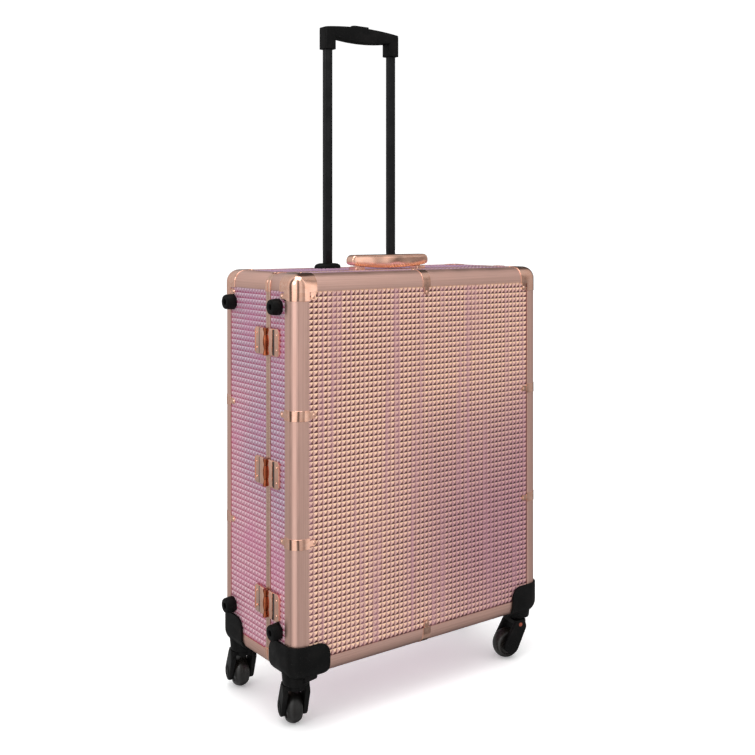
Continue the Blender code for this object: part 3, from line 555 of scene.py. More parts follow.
@dataclass(frozen=True)
class MetalFinish:
    """Anodised or plated metal, with drawn lines, smudges and a tint that drifts a little."""

    name: str
    light: Colour
    deep: Colour
    roughness: float
    line_depth: float = 0.00002
    across: float = 2600.0
    along: float = 6.0
    on_uv: bool = False
    coat: float = 0.0
    ripple: float = 0.0

    def build(self) -> bpy.types.Material:
        """Make the material."""
        material, wires, shader = new_material(self.name)
        source = wires.node("TexCoord")
        place = source.outputs["Object"]
        lines = use_group(wires, DRAWN_LINES, Vector=source.outputs["UV" if self.on_uv else "Object"],
                          Across=self.across, Along=self.along)
        worn = use_group(wires, HANDLING, Vector=place, Smudge_Size=11.0, Grain_Size=2400.0)
        tint = wires.mix(lines.outputs["Lines"], (*self.deep, 1), (*self.light, 1))
        dust = wires.math("MULTIPLY", worn.outputs["Specks"], 0.10)
        wires.tree.links.new(wires.mix(dust, tint, (0.75, 0.70, 0.66, 1)), shader.inputs["Base Color"])
        rough = wires.math("MULTIPLY_ADD", worn.outputs["Smudge"], 0.10, self.roughness)
        rough = wires.math("MULTIPLY_ADD", lines.outputs["Height"], 0.08, rough)
        wires.tree.links.new(rough, shader.inputs["Roughness"])
        bump = wires.node("Bump", Strength=0.5, Distance=self.line_depth, Height=lines.outputs["Height"])
        if self.ripple:
            wave = wires.node("TexNoise", Vector=place, Scale=34.0, Detail=0.0)
            swell = wires.node("Bump", Strength=1.0, Distance=self.ripple, Height=wave.outputs[0])
            wires.tree.links.new(swell.outputs[0], bump.inputs["Normal"])
        wires.tree.links.new(bump.outputs[0], shader.inputs["Normal"])
        set_shader(shader, Metallic=1.0, Coat_Weight=self.coat, Coat_Roughness=0.08)
        return material


@dataclass(frozen=True)
class PlasticFinish:
    """Moulded plastic or rubber with a fine grain, rubbed shinier where hands and floors touch it."""

    name: str
    colour: Colour
    rubbed: Colour
    roughness: float
    grain: float = 1500.0
    depth: float = 0.00006
    specular: float = 0.5

    def build(self) -> bpy.types.Material:
        """Make the material."""
        material, wires, shader = new_material(self.name)
        worn = use_group(wires, HANDLING, Vector=object_place(wires), Smudge_Size=30.0, Grain_Size=self.grain)
        tint = wires.mix(worn.outputs["Smudge"], (*self.colour, 1), (*self.rubbed, 1))
        dust = wires.math("MULTIPLY", worn.outputs["Specks"], 0.06)
        wires.tree.links.new(wires.mix(dust, tint, (0.45, 0.43, 0.42, 1)), shader.inputs["Base Color"])
        rough = wires.math("MULTIPLY_ADD", worn.outputs["Smudge"], -0.12, self.roughness)
        rough = wires.math("MULTIPLY_ADD", worn.outputs["Grain"], 0.12, rough)
        wires.tree.links.new(rough, shader.inputs["Roughness"])
        bump = wires.node("Bump", Strength=0.6, Distance=self.depth, Height=worn.outputs["Grain"])
        wires.tree.links.new(bump.outputs[0], shader.inputs["Normal"])
        set_shader(shader, Specular_IOR_Level=self.specular)
        return material


@dataclass(frozen=True)
class StudFinish:
    """Iridescent film over embossed studs, with painted light and shade: each facet gets a lighter or darker
    colour by the way it faces, and the tint drifts over the sheet.
    """

    name: str
    # upper, left, right and lower: painted light and shade, the colours of facets that look up, left, right
    # and down
    upper: Colour
    left: Colour
    right: Colour
    lower: Colour
    drift: Colour
    band: Colour
    band_scale: tuple[float, float, float] = (3.0, 3.0, 60.0)
    band_low: float = 0.50
    band_high: float = 0.62
    drift_amount: float = 0.6
    # With a centre given, the drift is a darker, more violet patch round it: painted shade together with the
    # film's own violet tone.
    painted_shade_centre: Point | None = None
    painted_shade_reach: tuple[float, float] = (0.34, 0.06)      # where the drift ends and where it is full
    band_amount: float = 0.5
    metallic: float = 0.30
    roughness: float = 0.34

    def build(self) -> bpy.types.Material:
        """Make the material. The facet attribute holds how far a facet looks up and to the side, and the
        lighter and darker colours are painted from it as light and shade.
        """
        material, wires, shader = new_material(self.name)
        # painted light and shade: each facet takes the colour of the way it faces
        facet = wires.node("Attribute", {"attribute_name": "facet"})
        parts = wires.node("SeparateColor", s0=facet.outputs["Color"])
        sideways = wires.mix(parts.outputs[0], (*self.left, 1), (*self.right, 1))
        upright = wires.mix(parts.outputs[1], (*self.lower, 1), (*self.upper, 1))
        tint = wires.mix(parts.outputs[2], sideways, upright)
        place = object_place(wires)
        cloud = wires.node("TexNoise", Vector=place, Scale=3.2, Detail=2.0, Roughness=0.45)
        mask = wires.step(cloud.outputs[0], 0.45, 0.66)
        # darker, more violet patch round the centre: painted shade together with the film's own violet tone
        if self.painted_shade_centre:
            away = wires.node("VectorMath", {"operation": "DISTANCE"}, s0=place,
                              s1=self.painted_shade_centre).outputs[1]
            blurred = wires.math("MULTIPLY_ADD", cloud.outputs[0], 0.25, wires.math("SUBTRACT", away, 0.125))
            mask = wires.math("SUBTRACT", 1.0, wires.step(blurred, self.painted_shade_reach[1], self.painted_shade_reach[0]))
        drifted = wires.math("MULTIPLY", mask, self.drift_amount)
        tint = wires.mix(drifted, tint, wires.mix(1.0, tint, (*self.drift, 1), "MULTIPLY"))
        mapping = wires.node("Mapping", Vector=place, Scale=self.band_scale)
        streak = wires.node("TexNoise", Vector=mapping.outputs[0], Scale=1.0, Detail=2.0, Roughness=0.6)
        banded = wires.math("MULTIPLY", wires.step(streak.outputs[0], self.band_low, self.band_high),
                            self.band_amount)
        tint = wires.mix(banded, tint, (*self.band, 1))
        wires.tree.links.new(tint, shader.inputs["Base Color"])
        worn = use_group(wires, HANDLING, Vector=place, Smudge_Size=18.0, Grain_Size=3000.0)
        wires.tree.links.new(wires.math("MULTIPLY_ADD", worn.outputs["Smudge"], 0.10, self.roughness),
                             shader.inputs["Roughness"])
        bump = wires.node("Bump", Strength=0.3, Distance=0.00003, Height=worn.outputs["Grain"])
        wires.tree.links.new(bump.outputs[0], shader.inputs["Normal"])
        set_shader(shader, Metallic=self.metallic, Coat_Weight=0.20, Coat_Roughness=0.18)
        return material


# ====================================================================== finishes of this case
@dataclass
class Finishes:
    """Every material of the case, built once."""

    satin: bpy.types.Material = field(init=False)
    rim: bpy.types.Material = field(init=False)
    polished: bpy.types.Material = field(init=False)
    painted_shade_copper: bpy.types.Material = field(init=False)
    stud_reflection_ribs: bpy.types.Material = field(init=False)
    steel: bpy.types.Material = field(init=False)
    mirror: bpy.types.Material = field(init=False)
    plastic: bpy.types.Material = field(init=False)
    tube: bpy.types.Material = field(init=False)
    rubber: bpy.types.Material = field(init=False)
    painted_shade_fill: bpy.types.Material = field(init=False)
    release_tab: bpy.types.Material = field(init=False)
    lining: bpy.types.Material = field(init=False)
    studs_front: bpy.types.Material = field(init=False)
    studs_side: bpy.types.Material = field(init=False)
    studs_top: bpy.types.Material = field(init=False)
    board: bpy.types.Material = field(init=False)

    def __post_init__(self) -> None:
        """Build the materials."""
        self.satin = MetalFinish("satin_rose_metal", (0.84, 0.54, 0.46), (0.73, 0.45, 0.37), 0.36,
                                 on_uv=True, line_depth=0.00004).build()
        self.rim = MetalFinish("rim_rose_metal", (0.84, 0.58, 0.48), (0.70, 0.45, 0.34), 0.24,
                               across=40.0, along=900.0).build()
        self.polished = MetalFinish("polished_rose_metal", (0.92, 0.56, 0.43), (0.86, 0.48, 0.35), 0.07,
                                    across=300.0, along=300.0, line_depth=0.00001, coat=0.2,
                                    ripple=0.0016).build()
        # knuckles and pins: a darker, oranger copy of the polished metal, painted shade
        self.painted_shade_copper = MetalFinish("copper_painted_shade", (0.50, 0.14, 0.06), (0.36, 0.09, 0.04), 0.20,
                                      across=300.0, along=300.0, line_depth=0.00001).build()
        # copper for the ribs under the carry handle: a painted reflection of the studded top
        self.stud_reflection_ribs = MetalFinish("copper_painted_reflection", (0.78, 0.33, 0.17), (0.62, 0.22, 0.10), 0.22,
                                across=300.0, along=300.0, line_depth=0.00001).build()
        self.steel = MetalFinish("zinc_steel", (0.62, 0.62, 0.63), (0.50, 0.50, 0.52), 0.30,
                                 across=700.0, along=20.0).build()
        self.mirror = MetalFinish("mirror_glass", (0.88, 0.91, 0.91), (0.86, 0.89, 0.89), 0.02,
                                  across=2.0, along=2.0, line_depth=0.0000002).build()
        self.plastic = PlasticFinish("black_plastic", (0.0030, 0.0030, 0.0030), (0.0055, 0.0050, 0.0048),
                                     0.44,
                                     specular=0.10).build()
        self.tube = PlasticFinish("black_coated_tube", (0.003, 0.003, 0.0035), (0.006, 0.006, 0.0065), 0.32,
                                  grain=900.0, depth=0.00002, specular=0.2).build()
        self.rubber = PlasticFinish("wheel_rubber", (0.007, 0.0062, 0.0055), (0.016, 0.013, 0.011), 0.30,
                                    grain=1100.0, depth=0.00006, specular=0.45).build()
        # near-black filler for the seam ring and the hinge grooves: painted shade
        self.painted_shade_fill = PlasticFinish("dark_painted_shade", (0.030, 0.020, 0.016), (0.05, 0.035, 0.03), 0.6).build()
        self.release_tab = PlasticFinish("orange_tab", (0.20, 0.034, 0.012), (0.27, 0.05, 0.02), 0.35).build()
        self.board = PlasticFinish("black_lining_board", (0.016, 0.014, 0.015), (0.03, 0.027, 0.028), 0.75,
                                   grain=700.0).build()
        self.lining = PlasticFinish("quilted_lining", (0.020, 0.017, 0.019), (0.04, 0.034, 0.038), 0.82,
                                    grain=420.0, depth=0.0003).build()
        # studded sheets: the facet colours upper, left, right and lower are painted light and shade
        self.studs_front = StudFinish(
            "studded_film_front", upper=(0.92, 0.60, 0.41), left=(0.66, 0.39, 0.34),
            right=(0.26, 0.105, 0.085),
            # front drift: a darker, more violet patch low on the right, painted shade together with the
            # film's own tone
            lower=(0.09, 0.025, 0.030), drift=(0.60, 0.50, 0.72), drift_amount=0.95,
            painted_shade_centre=(0.22, -0.117, 0.24), band=(0.44, 0.22, 0.27), band_scale=(90.0, 2.0, 2.5),
            band_low=0.48, band_high=0.70, band_amount=0.50).build()
        self.studs_side = StudFinish(
            "studded_film_side", upper=(0.65, 0.42, 0.47), left=(0.46, 0.24, 0.29), right=(0.48, 0.20, 0.27),
            lower=(0.41, 0.065, 0.14), drift=(0.66, 0.92, 1.0), drift_amount=0.7, band=(0.50, 0.14, 0.28),
            band_scale=(2.0, 6.0, 8.0), band_low=0.46, band_high=0.70, band_amount=0.40).build()
        self.studs_top = StudFinish(
            "studded_film_top", upper=(0.66, 0.48, 0.60), left=(0.68, 0.52, 0.56), right=(0.60, 0.40, 0.52),
            lower=(0.42, 0.20, 0.34), drift=(0.9, 0.8, 1.0), band=(0.66, 0.40, 0.50),
            band_scale=(9.0, 40.0, 2.0), band_amount=0.4).build()


# ====================================================================== sizes read from the frame
@dataclass(frozen=True)
class CaseSizes:
    """Faces and planes of the case, from the frame, with the few sizes that boxes can't tell."""

    left: float
    right: float
    front: float
    back: float
    bottom: float
    top: float
    seam: float
    edge_radius: float = 0.020
    leg: float = 0.0272
    lip: float = 0.0020
    panel_drop: float = 0.0023
    rim_inset: float = 0.0095

    @classmethod
    def from_frame(cls) -> "CaseSizes":
        """Read the case's faces from its profile frames and rims."""
        lid_low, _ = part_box("lid_frame")
        _, body_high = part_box("body_frame")
        seam = (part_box("lid_rim")[1].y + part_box("body_rim")[0].y) / 2
        return cls(lid_low.x, body_high.x, lid_low.y, body_high.y, lid_low.z, body_high.z, seam)

    @property
    def low(self) -> Vector:
        """Lowest corner of the closed case."""
        return Vector((self.left, self.front, self.bottom))

    @property
    def high(self) -> Vector:
        """Highest corner of the closed case."""
        return Vector((self.right, self.back, self.top))


@dataclass(frozen=True)
class Shell:
    """One half of the case."""

    name: str
    body: str
    side: int                # -1 for the lid in front, 1 for the body behind
    face: str

    @property
    def frame_node(self) -> str:
        """CAD node of the edge profile."""
        return self.name + "_frame"

    def big_face(self, sizes: CaseSizes) -> float:
        """Give the plane of this half's big face."""
        return sizes.front if self.side < 0 else sizes.back


LID = Shell("lid", "lid", -1, "front_panel")
BODY = Shell("body", "case_body", 1, "back_panel")


def open_skin(name: str, sizes: CaseSizes, shell: Shell, grow: float, reach: float, segments: int = 10
              ) -> Mesh:
    """Make the thin surface of a shell's rounded edges, open over its panels and at the seam.

    Args:
        name: the object's name.
        sizes: the case's sizes.
        shell: the half that it belongs to.
        grow: how far it stands off the profile.
        reach: how far it reaches onto each face, from the case's corner planes.
        segments: steps round an edge.

    Returns:
        The open surface, its faces pointing outwards.
    """
    low, high = sizes.low - Vector((grow,) * 3), sizes.high + Vector((grow,) * 3)
    past = sizes.seam - shell.side * 3 * sizes.edge_radius
    if shell.side < 0:
        high.y = past
    else:
        low.y = past
    skin = block(name, low, high)
    radius = sizes.edge_radius + grow
    round_edges(skin, radius, segments)
    flat = sizes.edge_radius ** 2 * 10

    def is_flat(face: object) -> bool:
        """Say whether this is one of the box's six flat faces."""
        return face.area > flat and max(abs(value) for value in face.normal) > 0.9999
    with editing(skin, Element.FACE, is_flat):
        bpy.ops.mesh.inset(thickness=reach + grow - radius, depth=0.0, use_individual=True)
        bpy.ops.mesh.delete(type="FACE")
    return skin


def thicken(piece: Mesh, thickness: float) -> Mesh:
    """Give an open skin its wall, on the inner side."""
    return modify(piece, "SOLIDIFY", thickness=thickness, offset=-1.0, use_even_offset=True,
                  use_quality_normals=True)


def unwrap_along_bars(piece: Mesh, sizes: CaseSizes) -> None:
    """Lay a UV map with U across each bar and V along it.

    Args:
        piece: a profile frame.
        sizes: the case's sizes.
    """
    mesh = piece.data
    while mesh.uv_layers:
        mesh.uv_layers.remove(mesh.uv_layers[0])
    centre = (sizes.low + sizes.high) / 2
    half = (sizes.high - sizes.low) / 2
    layer = mesh.uv_layers.new(name="bars")
    for face in mesh.polygons:
        rooms = [half[i] - abs(face.center[i] - centre[i]) for i in range(3)]
        along = rooms.index(max(rooms))
        first, second = (i for i in range(3) if i != along)
        for corner in face.loop_indices:
            place = mesh.vertices[mesh.loops[corner].vertex_index].co
            across = (abs(place[first] - centre[first]) - half[first]
                      - abs(place[second] - centre[second]) + half[second])
            layer.data[corner].uv = (across, place[along])


def rounded_frame(name: str, sizes: CaseSizes, low_y: float, high_y: float, inset: float,
                  grow: float = 0.0) -> Mesh:
    """Make a flat ring with the case's outline.

    Args:
        name: the object's name.
        sizes: the case's sizes.
        low_y: its front plane.
        high_y: its rear plane.
        inset: how far its hole lies inside the case's outline.
        grow: how far it stands off the case's outline.

    Returns:
        The ring.
    """
    ring = block(name, (sizes.left - grow, low_y, sizes.bottom - grow),
                 (sizes.right + grow, high_y, sizes.top + grow))
    round_edges(ring, sizes.edge_radius + grow, 12, runs_along(ring, 1))
    hole = block(name + "_hole", (sizes.left + inset, low_y - 1, sizes.bottom + inset),
                 (sizes.right - inset, high_y + 1, sizes.top - inset))
    return combine(ring, [hole], "DIFFERENCE")


# ====================================================================== trim with rivets
@dataclass
class RivetTab:
    """A small rounded plate with a domed rivet, which ties a cap or clip to a panel."""

    length: float = 0.013
    width: float = 0.0095
    thickness: float = 0.0024
    rivet: float = 0.0027
    pattern: Mesh | None = None

    def build(self) -> Mesh:
        """Model the tab once, along +X from the origin, lying on Z = 0, and return it."""
        half = self.width / 2
        plate = block("tab_pattern", (-0.002, -half, 0.0), (self.length, half, self.thickness))
        vertices = plate.data.vertices
        along_z = runs_along(plate, 2)
        round_edges(plate, half * 0.98, 6, lambda edge: along_z(edge) and vertices[edge.vertices[0]].co.x > 0)
        soften(plate, 0.0004, 1)
        dome = turned("tab_dome", [(self.rivet, -0.0004), (self.rivet, 0.0003), (self.rivet * 0.8, 0.0009),
                                   (self.rivet * 0.4, 0.0012)],
                      (self.length - half, 0.0, self.thickness), steps=16)
        self.pattern = joined([plate, dome], "tab_pattern")
        return self.pattern

    def at(self, name: str, origin: Vector, along: Vector, out: Vector) -> Mesh:
        """Copy the tab to a place.

        Args:
            name: the copy's name.
            origin: where it leaves the trim.
            along: the way it runs.
            out: the way its rivet faces.

        Returns:
            The copy.
        """
        turn = Matrix((along, out.cross(along), out)).transposed().to_4x4()
        return copy_of(self.pattern or self.build(), name, Matrix.Translation(origin) @ turn)

    def put_away(self) -> None:
        """Remove the pattern once every copy is made."""
        if self.pattern:
            bpy.data.objects.remove(self.pattern, do_unlink=True)


@dataclass
class Shells:
    """The two shells: edge profiles, rims, a dark ring of painted shade in the seam, studded sheets and all
    the riveted trim.
    """

    sizes: CaseSizes
    finishes: Finishes
    pitch: float = 0.00873          # from stud to stud
    stud_height: float = 0.0015
    sheet: float = 0.0005
    cap_reach: float = 0.042
    cap_grow: float = 0.0008
    clip_width: float = 0.0165
    clip_grow: float = 0.0007
    clip_wall: float = 0.0012
    clip_heights: tuple[float, float] = (0.4032, 0.2077)
    rim_cap_reach: float = 0.030
    tab: RivetTab = field(default_factory=RivetTab)

    def build(self) -> None:
        """Build everything that belongs to the shells."""
        for shell in (LID, BODY):
            self.profile(shell)
            self.rim(shell)
            self.rim_caps(shell)
            self.corner_caps(shell)
            self.edge_clips(shell)
            self.middle_clips(shell)
            self.sheets(shell)
        self.painted_shade_fill()
        self.boards()
        self.tab.put_away()

    def rim_planes(self, shell: Shell) -> tuple[float, float]:
        """Give the planes of a shell's rim, seam side first."""
        low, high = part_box(shell.name + "_rim")
        return (high.y, low.y) if shell.side < 0 else (low.y, high.y)

    def keep_shell(self, piece: Mesh, shell: Shell, seam_end: float) -> Mesh:
        """Cut a skin off at a plane near the seam.

        Args:
            piece: the skin.
            shell: the half that it belongs to.
            seam_end: where it ends.

        Returns:
            The piece.
        """
        far = 1.0
        span = (-far, seam_end) if shell.side < 0 else (seam_end, far)
        return trimmed(piece, 1, *span)

    def profile(self, shell: Shell) -> None:
        """Model the satin edge profile in place of the CAD one."""
        sizes = self.sizes
        skin = open_skin(shell.name + "_profile", sizes, shell, 0.0, sizes.leg)
        self.keep_shell(skin, shell, self.rim_planes(shell)[1] + shell.side * 0.0003)
        thicken(skin, sizes.lip)
        soften(skin, 0.0004, 2, math.radians(60))
        unwrap_along_bars(skin, sizes)
        finished(skin, self.finishes.satin, shell.body, [shell.frame_node])

    def rim(self, shell: Shell) -> None:
        """Model the seam rim as a smooth ring."""
        near, far = self.rim_planes(shell)
        ring = rounded_frame(shell.name + "_seam_rim", self.sizes, min(near, far), max(near, far),
                             self.sizes.rim_inset)
        soften(ring, 0.0007, 2)
        finished(ring, self.finishes.rim, shell.body, [shell.name + "_rim"])

    def rim_caps(self, shell: Shell) -> None:
        """Model the polished connectors round the rim's corners, each with two riveted tabs."""
        sizes = self.sizes
        near, far = self.rim_planes(shell)
        caps = []
        for side_x in (-1, 1):
            for side_z in (-1, 1):
                ring = rounded_frame("rim_cap", sizes,
                                     min(near, far) - (0.0016 if shell.side < 0 else -0.0003),
                                     max(near, far) + (0.0016 if shell.side > 0 else -0.0003), 0.0012, 0.0009)
                corner_x = sizes.left if side_x < 0 else sizes.right
                corner_z = sizes.bottom if side_z < 0 else sizes.top
                span_x = sorted((corner_x - side_x * self.rim_cap_reach, corner_x + side_x))
                span_z = sorted((corner_z - side_z * self.rim_cap_reach, corner_z + side_z))
                trimmed(ring, 0, *span_x, fill=True)
                trimmed(ring, 2, *span_z, fill=True)
                soften(ring, 0.0003, 1)
                caps.append(ring)
        finished(joined(caps, shell.name + "_rim_corners"), self.finishes.polished, shell.body)

    def corner_caps(self, shell: Shell) -> None:
        """Model the polished three-way caps on the top corners."""
        sizes, reach, grow = self.sizes, self.cap_reach, self.cap_grow
        face = shell.big_face(sizes)
        for label, side_x in (("left", -1), ("right", 1)):
            skin = open_skin("cap", sizes, shell, grow, sizes.leg + 0.001, 12)
            corner_x = sizes.left if side_x < 0 else sizes.right
            trimmed(skin, 0, *sorted((corner_x - side_x * reach, corner_x + side_x)))
            trimmed(skin, 1, *sorted((face - shell.side * reach, face + shell.side)))
            trimmed(skin, 2, sizes.top - reach, sizes.top + 1)
            thicken(skin, grow + 0.0006)
            soften(skin, 0.0003, 1, math.radians(50))
            tabs = self.cap_tabs(shell, side_x, corner_x, face)
            finished(joined([skin, *tabs], f"{shell.name}_corner_cap_{label}"), self.finishes.polished,
                     shell.body)

    def cap_tabs(self, shell: Shell, side_x: int, corner_x: float, face: float) -> list[Mesh]:
        """Place a cap's riveted tabs on the panels round it.

        Args:
            shell: the half.
            side_x: -1 on the left, 1 on the right.
            corner_x: the side's plane.
            face: the face's plane.

        Returns:
            The tabs.
        """
        sizes, drop = self.sizes, self.sizes.panel_drop - 0.0001
        edge = sizes.leg + 0.0006
        into_x, into_y, down = Vector((-side_x, 0, 0)), Vector((0, -shell.side, 0)), Vector((0, 0, -1))
        inner = self.cap_reach - 0.007
        on_face = Vector((corner_x - side_x * inner, face - shell.side * drop, sizes.top - edge))
        on_side = Vector((corner_x - side_x * drop, face - shell.side * edge, sizes.top - inner))
        on_top = Vector((corner_x - side_x * inner, face - shell.side * edge, sizes.top - drop))
        return [
            self.tab.at("tab", on_face, down, -into_y),
            self.tab.at("tab", on_side, into_y, -into_x),
            self.tab.at("tab", on_top, into_y, -down),
        ]

    def clip_band(self, shell: Shell, axis: int, middle: float) -> Mesh:
        """Make one polished band round the profiles.

        Args:
            shell: the half.
            axis: the axis that the profile runs along.
            middle: the middle of the band on that axis.

        Returns:
            The band, without its tabs.
        """
        sizes, half, face = self.sizes, self.clip_width / 2, shell.big_face(self.sizes)
        band = open_skin("clip", sizes, shell, self.clip_grow, sizes.leg + 0.001)
        trimmed(band, axis, middle - half, middle + half)
        trimmed(band, 1, *sorted((face + shell.side, face - shell.side * sizes.leg * 1.1)))
        thicken(band, self.clip_wall)
        return soften(band, 0.0002, 1, math.radians(50))

    def edge_clips(self, shell: Shell) -> None:
        """Model the polished bands round the upright profiles, riveted to both panels."""
        sizes = self.sizes
        face = shell.big_face(sizes)
        drop, edge = sizes.panel_drop - 0.0001, sizes.leg + 0.0006
        bands = []
        for height in self.clip_heights:
            z = sizes.bottom + height
            bands.append(self.clip_band(shell, 2, z))
            for side_x, plane in ((-1, sizes.left), (1, sizes.right)):
                bands.append(self.tab.at("tab", Vector((plane - side_x * edge, face - shell.side * drop, z)),
                                         Vector((-side_x, 0, 0)), Vector((0, shell.side, 0))))
                bands.append(self.tab.at("tab", Vector((plane - side_x * drop, face - shell.side * edge, z)),
                                         Vector((0, -shell.side, 0)), Vector((side_x, 0, 0))))
        finished(joined(bands, shell.name + "_edge_clips"), self.finishes.polished, shell.body)

    def middle_clips(self, shell: Shell) -> None:
        """Model the bands half way along the top and bottom profiles."""
        sizes = self.sizes
        face = shell.big_face(sizes)
        drop, edge = sizes.panel_drop - 0.0001, sizes.leg + 0.0006
        middle = (sizes.left + sizes.right) / 2
        bands = [self.clip_band(shell, 0, middle)]
        for side_z, plane in ((-1, sizes.bottom), (1, sizes.top)):
            bands.append(self.tab.at("tab", Vector((middle, face - shell.side * drop, plane - side_z * edge)),
                                     Vector((0, 0, -side_z)), Vector((0, shell.side, 0))))
            bands.append(self.tab.at("tab", Vector((middle, face - shell.side * edge, plane - side_z * drop)),
                                     Vector((0, -shell.side, 0)), Vector((0, 0, side_z))))
        finished(joined(bands, shell.name + "_middle_clips"), self.finishes.polished, shell.body)

    def sheets(self, shell: Shell) -> None:
        """Model the studded sheet in each window of a shell."""
        sizes, leg, drop = self.sizes, self.sizes.leg, self.sizes.panel_drop
        face = shell.big_face(sizes)
        rim_end = self.rim_planes(shell)[1] + shell.side * 0.0006
        face_end = face - shell.side * leg
        across = (sizes.left + leg, sizes.right - leg)
        upright = (sizes.bottom + leg, sizes.top - leg)
        deep = tuple(sorted((rim_end, face_end)))
        out_y = Vector((0, shell.side, 0))
        places = {
            shell.face.replace("panel", "studs"): (across, upright, face - shell.side * drop, out_y, 1,
                                                    self.finishes.studs_front),
            shell.name + "_studs_left": (deep, upright, sizes.left + drop, Vector((-1, 0, 0)), 0,
                                         self.finishes.studs_side),
            shell.name + "_studs_right": (deep, upright, sizes.right - drop, Vector((1, 0, 0)), 0,
                                          self.finishes.studs_side),
            shell.name + "_studs_top": (across, deep, sizes.top - drop, Vector((0, 0, 1)), 2,
                                        self.finishes.studs_top),
            shell.name + "_studs_bottom": (across, deep, sizes.bottom + drop, Vector((0, 0, -1)), 2,
                                           self.finishes.studs_top),
        }
        for name, (first, second, plane, out, axis, material) in places.items():
            self.sheet_of_studs(name, first, second, plane, out, axis, material, shell.body)

    def sheet_of_studs(self, name: str, first: tuple[float, float], second: tuple[float, float],
                       plane: float, out: Vector, axis: int, material: bpy.types.Material,
                       body: str) -> None:
        """Emboss one sheet: a grid whose faces are poked into pyramids, with a closed back.

        Args:
            name: the sheet's name.
            first: its span along its own first axis.
            second: its span along its second axis.
            plane: where its back lies.
            out: the way its studs point.
            axis: the axis that its plane stands on.
            material: its finish.
            body: the body that it rides on.
        """
        width, height = first[1] - first[0], second[1] - second[0]
        counts = (max(1, round(width / self.pitch)), max(1, round(height / self.pitch)))
        along = {0: Vector((0, 1, 0)), 1: Vector((1, 0, 0)), 2: Vector((1, 0, 0))}[axis]
        up = out.cross(along)
        centre = along * (first[0] + first[1]) / 2
        up_axis = {0: Vector((0, 0, 1)), 1: Vector((0, 0, 1)), 2: Vector((0, 1, 0))}[axis]
        centre += up_axis * (second[0] + second[1]) / 2
        centre[axis] = plane + out[axis] * (self.sheet + 0.0001)
        bpy.ops.object.select_all(action="DESELECT")
        bpy.ops.mesh.primitive_grid_add(x_subdivisions=counts[0], y_subdivisions=counts[1], size=1.0)
        grid = bpy.context.active_object
        turn = Matrix((along * width, up * height, out)).transposed().to_4x4()
        grid.matrix_world = Matrix.Translation(centre) @ turn
        settle(grid, name)
        with editing(grid, Element.FACE):
            bpy.ops.mesh.poke(offset=self.stud_height, use_relative_offset=False)
            bpy.ops.mesh.select_all(action="DESELECT")
            bpy.context.tool_settings.mesh_select_mode = Element.EDGE.value
            bpy.ops.mesh.select_non_manifold()
            bpy.ops.mesh.extrude_region_move(TRANSFORM_OT_translate={"value": -out * self.sheet})
            bpy.ops.mesh.edge_face_add()
        self.mark_facing_for_painted_light(grid, along, up if up.z > 0.5 or axis == 2 else -up)
        finished(grid, material, body, smooth=False)

    @staticmethod
    def mark_facing_for_painted_light(sheet: Mesh, along: Vector, up: Vector) -> None:
        """Store on each facet how far it looks sideways and upwards, and which of the two it does, for the
        studs' painted light and shade.

        Args:
            sheet: the studded sheet.
            along: its sideways axis.
            up: its upward axis.
        """
        layer = sheet.data.color_attributes.new(name="facet", type="FLOAT_COLOR", domain="CORNER")
        for face in sheet.data.polygons:
            sideways, upwards = face.normal.dot(along), face.normal.dot(up)
            looks_up = 1.0 if abs(upwards) > abs(sideways) else 0.0
            value = (0.5 + 0.5 * (1 if sideways > 0 else -1), 0.5 + 0.5 * (1 if upwards > 0 else -1),
                     looks_up, 1.0)
            for corner in face.loop_indices:
                layer.data[corner].color = value

    def painted_shade_fill(self) -> None:
        """Model a dark ring of painted shade in the seam, on the body's rim."""
        near, _ = self.rim_planes(BODY)
        # dark ring in the seam gap: painted shade
        ring = rounded_frame("seam_painted_shade", self.sizes, near - 0.0008, near + 0.0002,
                             self.sizes.rim_inset - 0.001, -0.0012)
        finished(ring, self.finishes.painted_shade_fill, BODY.body)

    def boards(self) -> None:
        """Dress the CAD boards behind the studded sheets, whose inner faces line the case."""
        for shell in (LID, BODY):
            sides = [f"{shell.name}_wall_{side}" for side in ("left", "right", "top", "bottom")]
            for node in (shell.face, *sides):
                dress_node(node, self.finishes.board)


def dress_node(node: str, material: bpy.types.Material) -> None:
    """Give a carried-over CAD node its finish.

    Args:
        node: the node's name.
        material: its finish.
    """
    piece = frame["nodes"][node]
    piece.data.materials.clear()
    piece.data.materials.append(material)


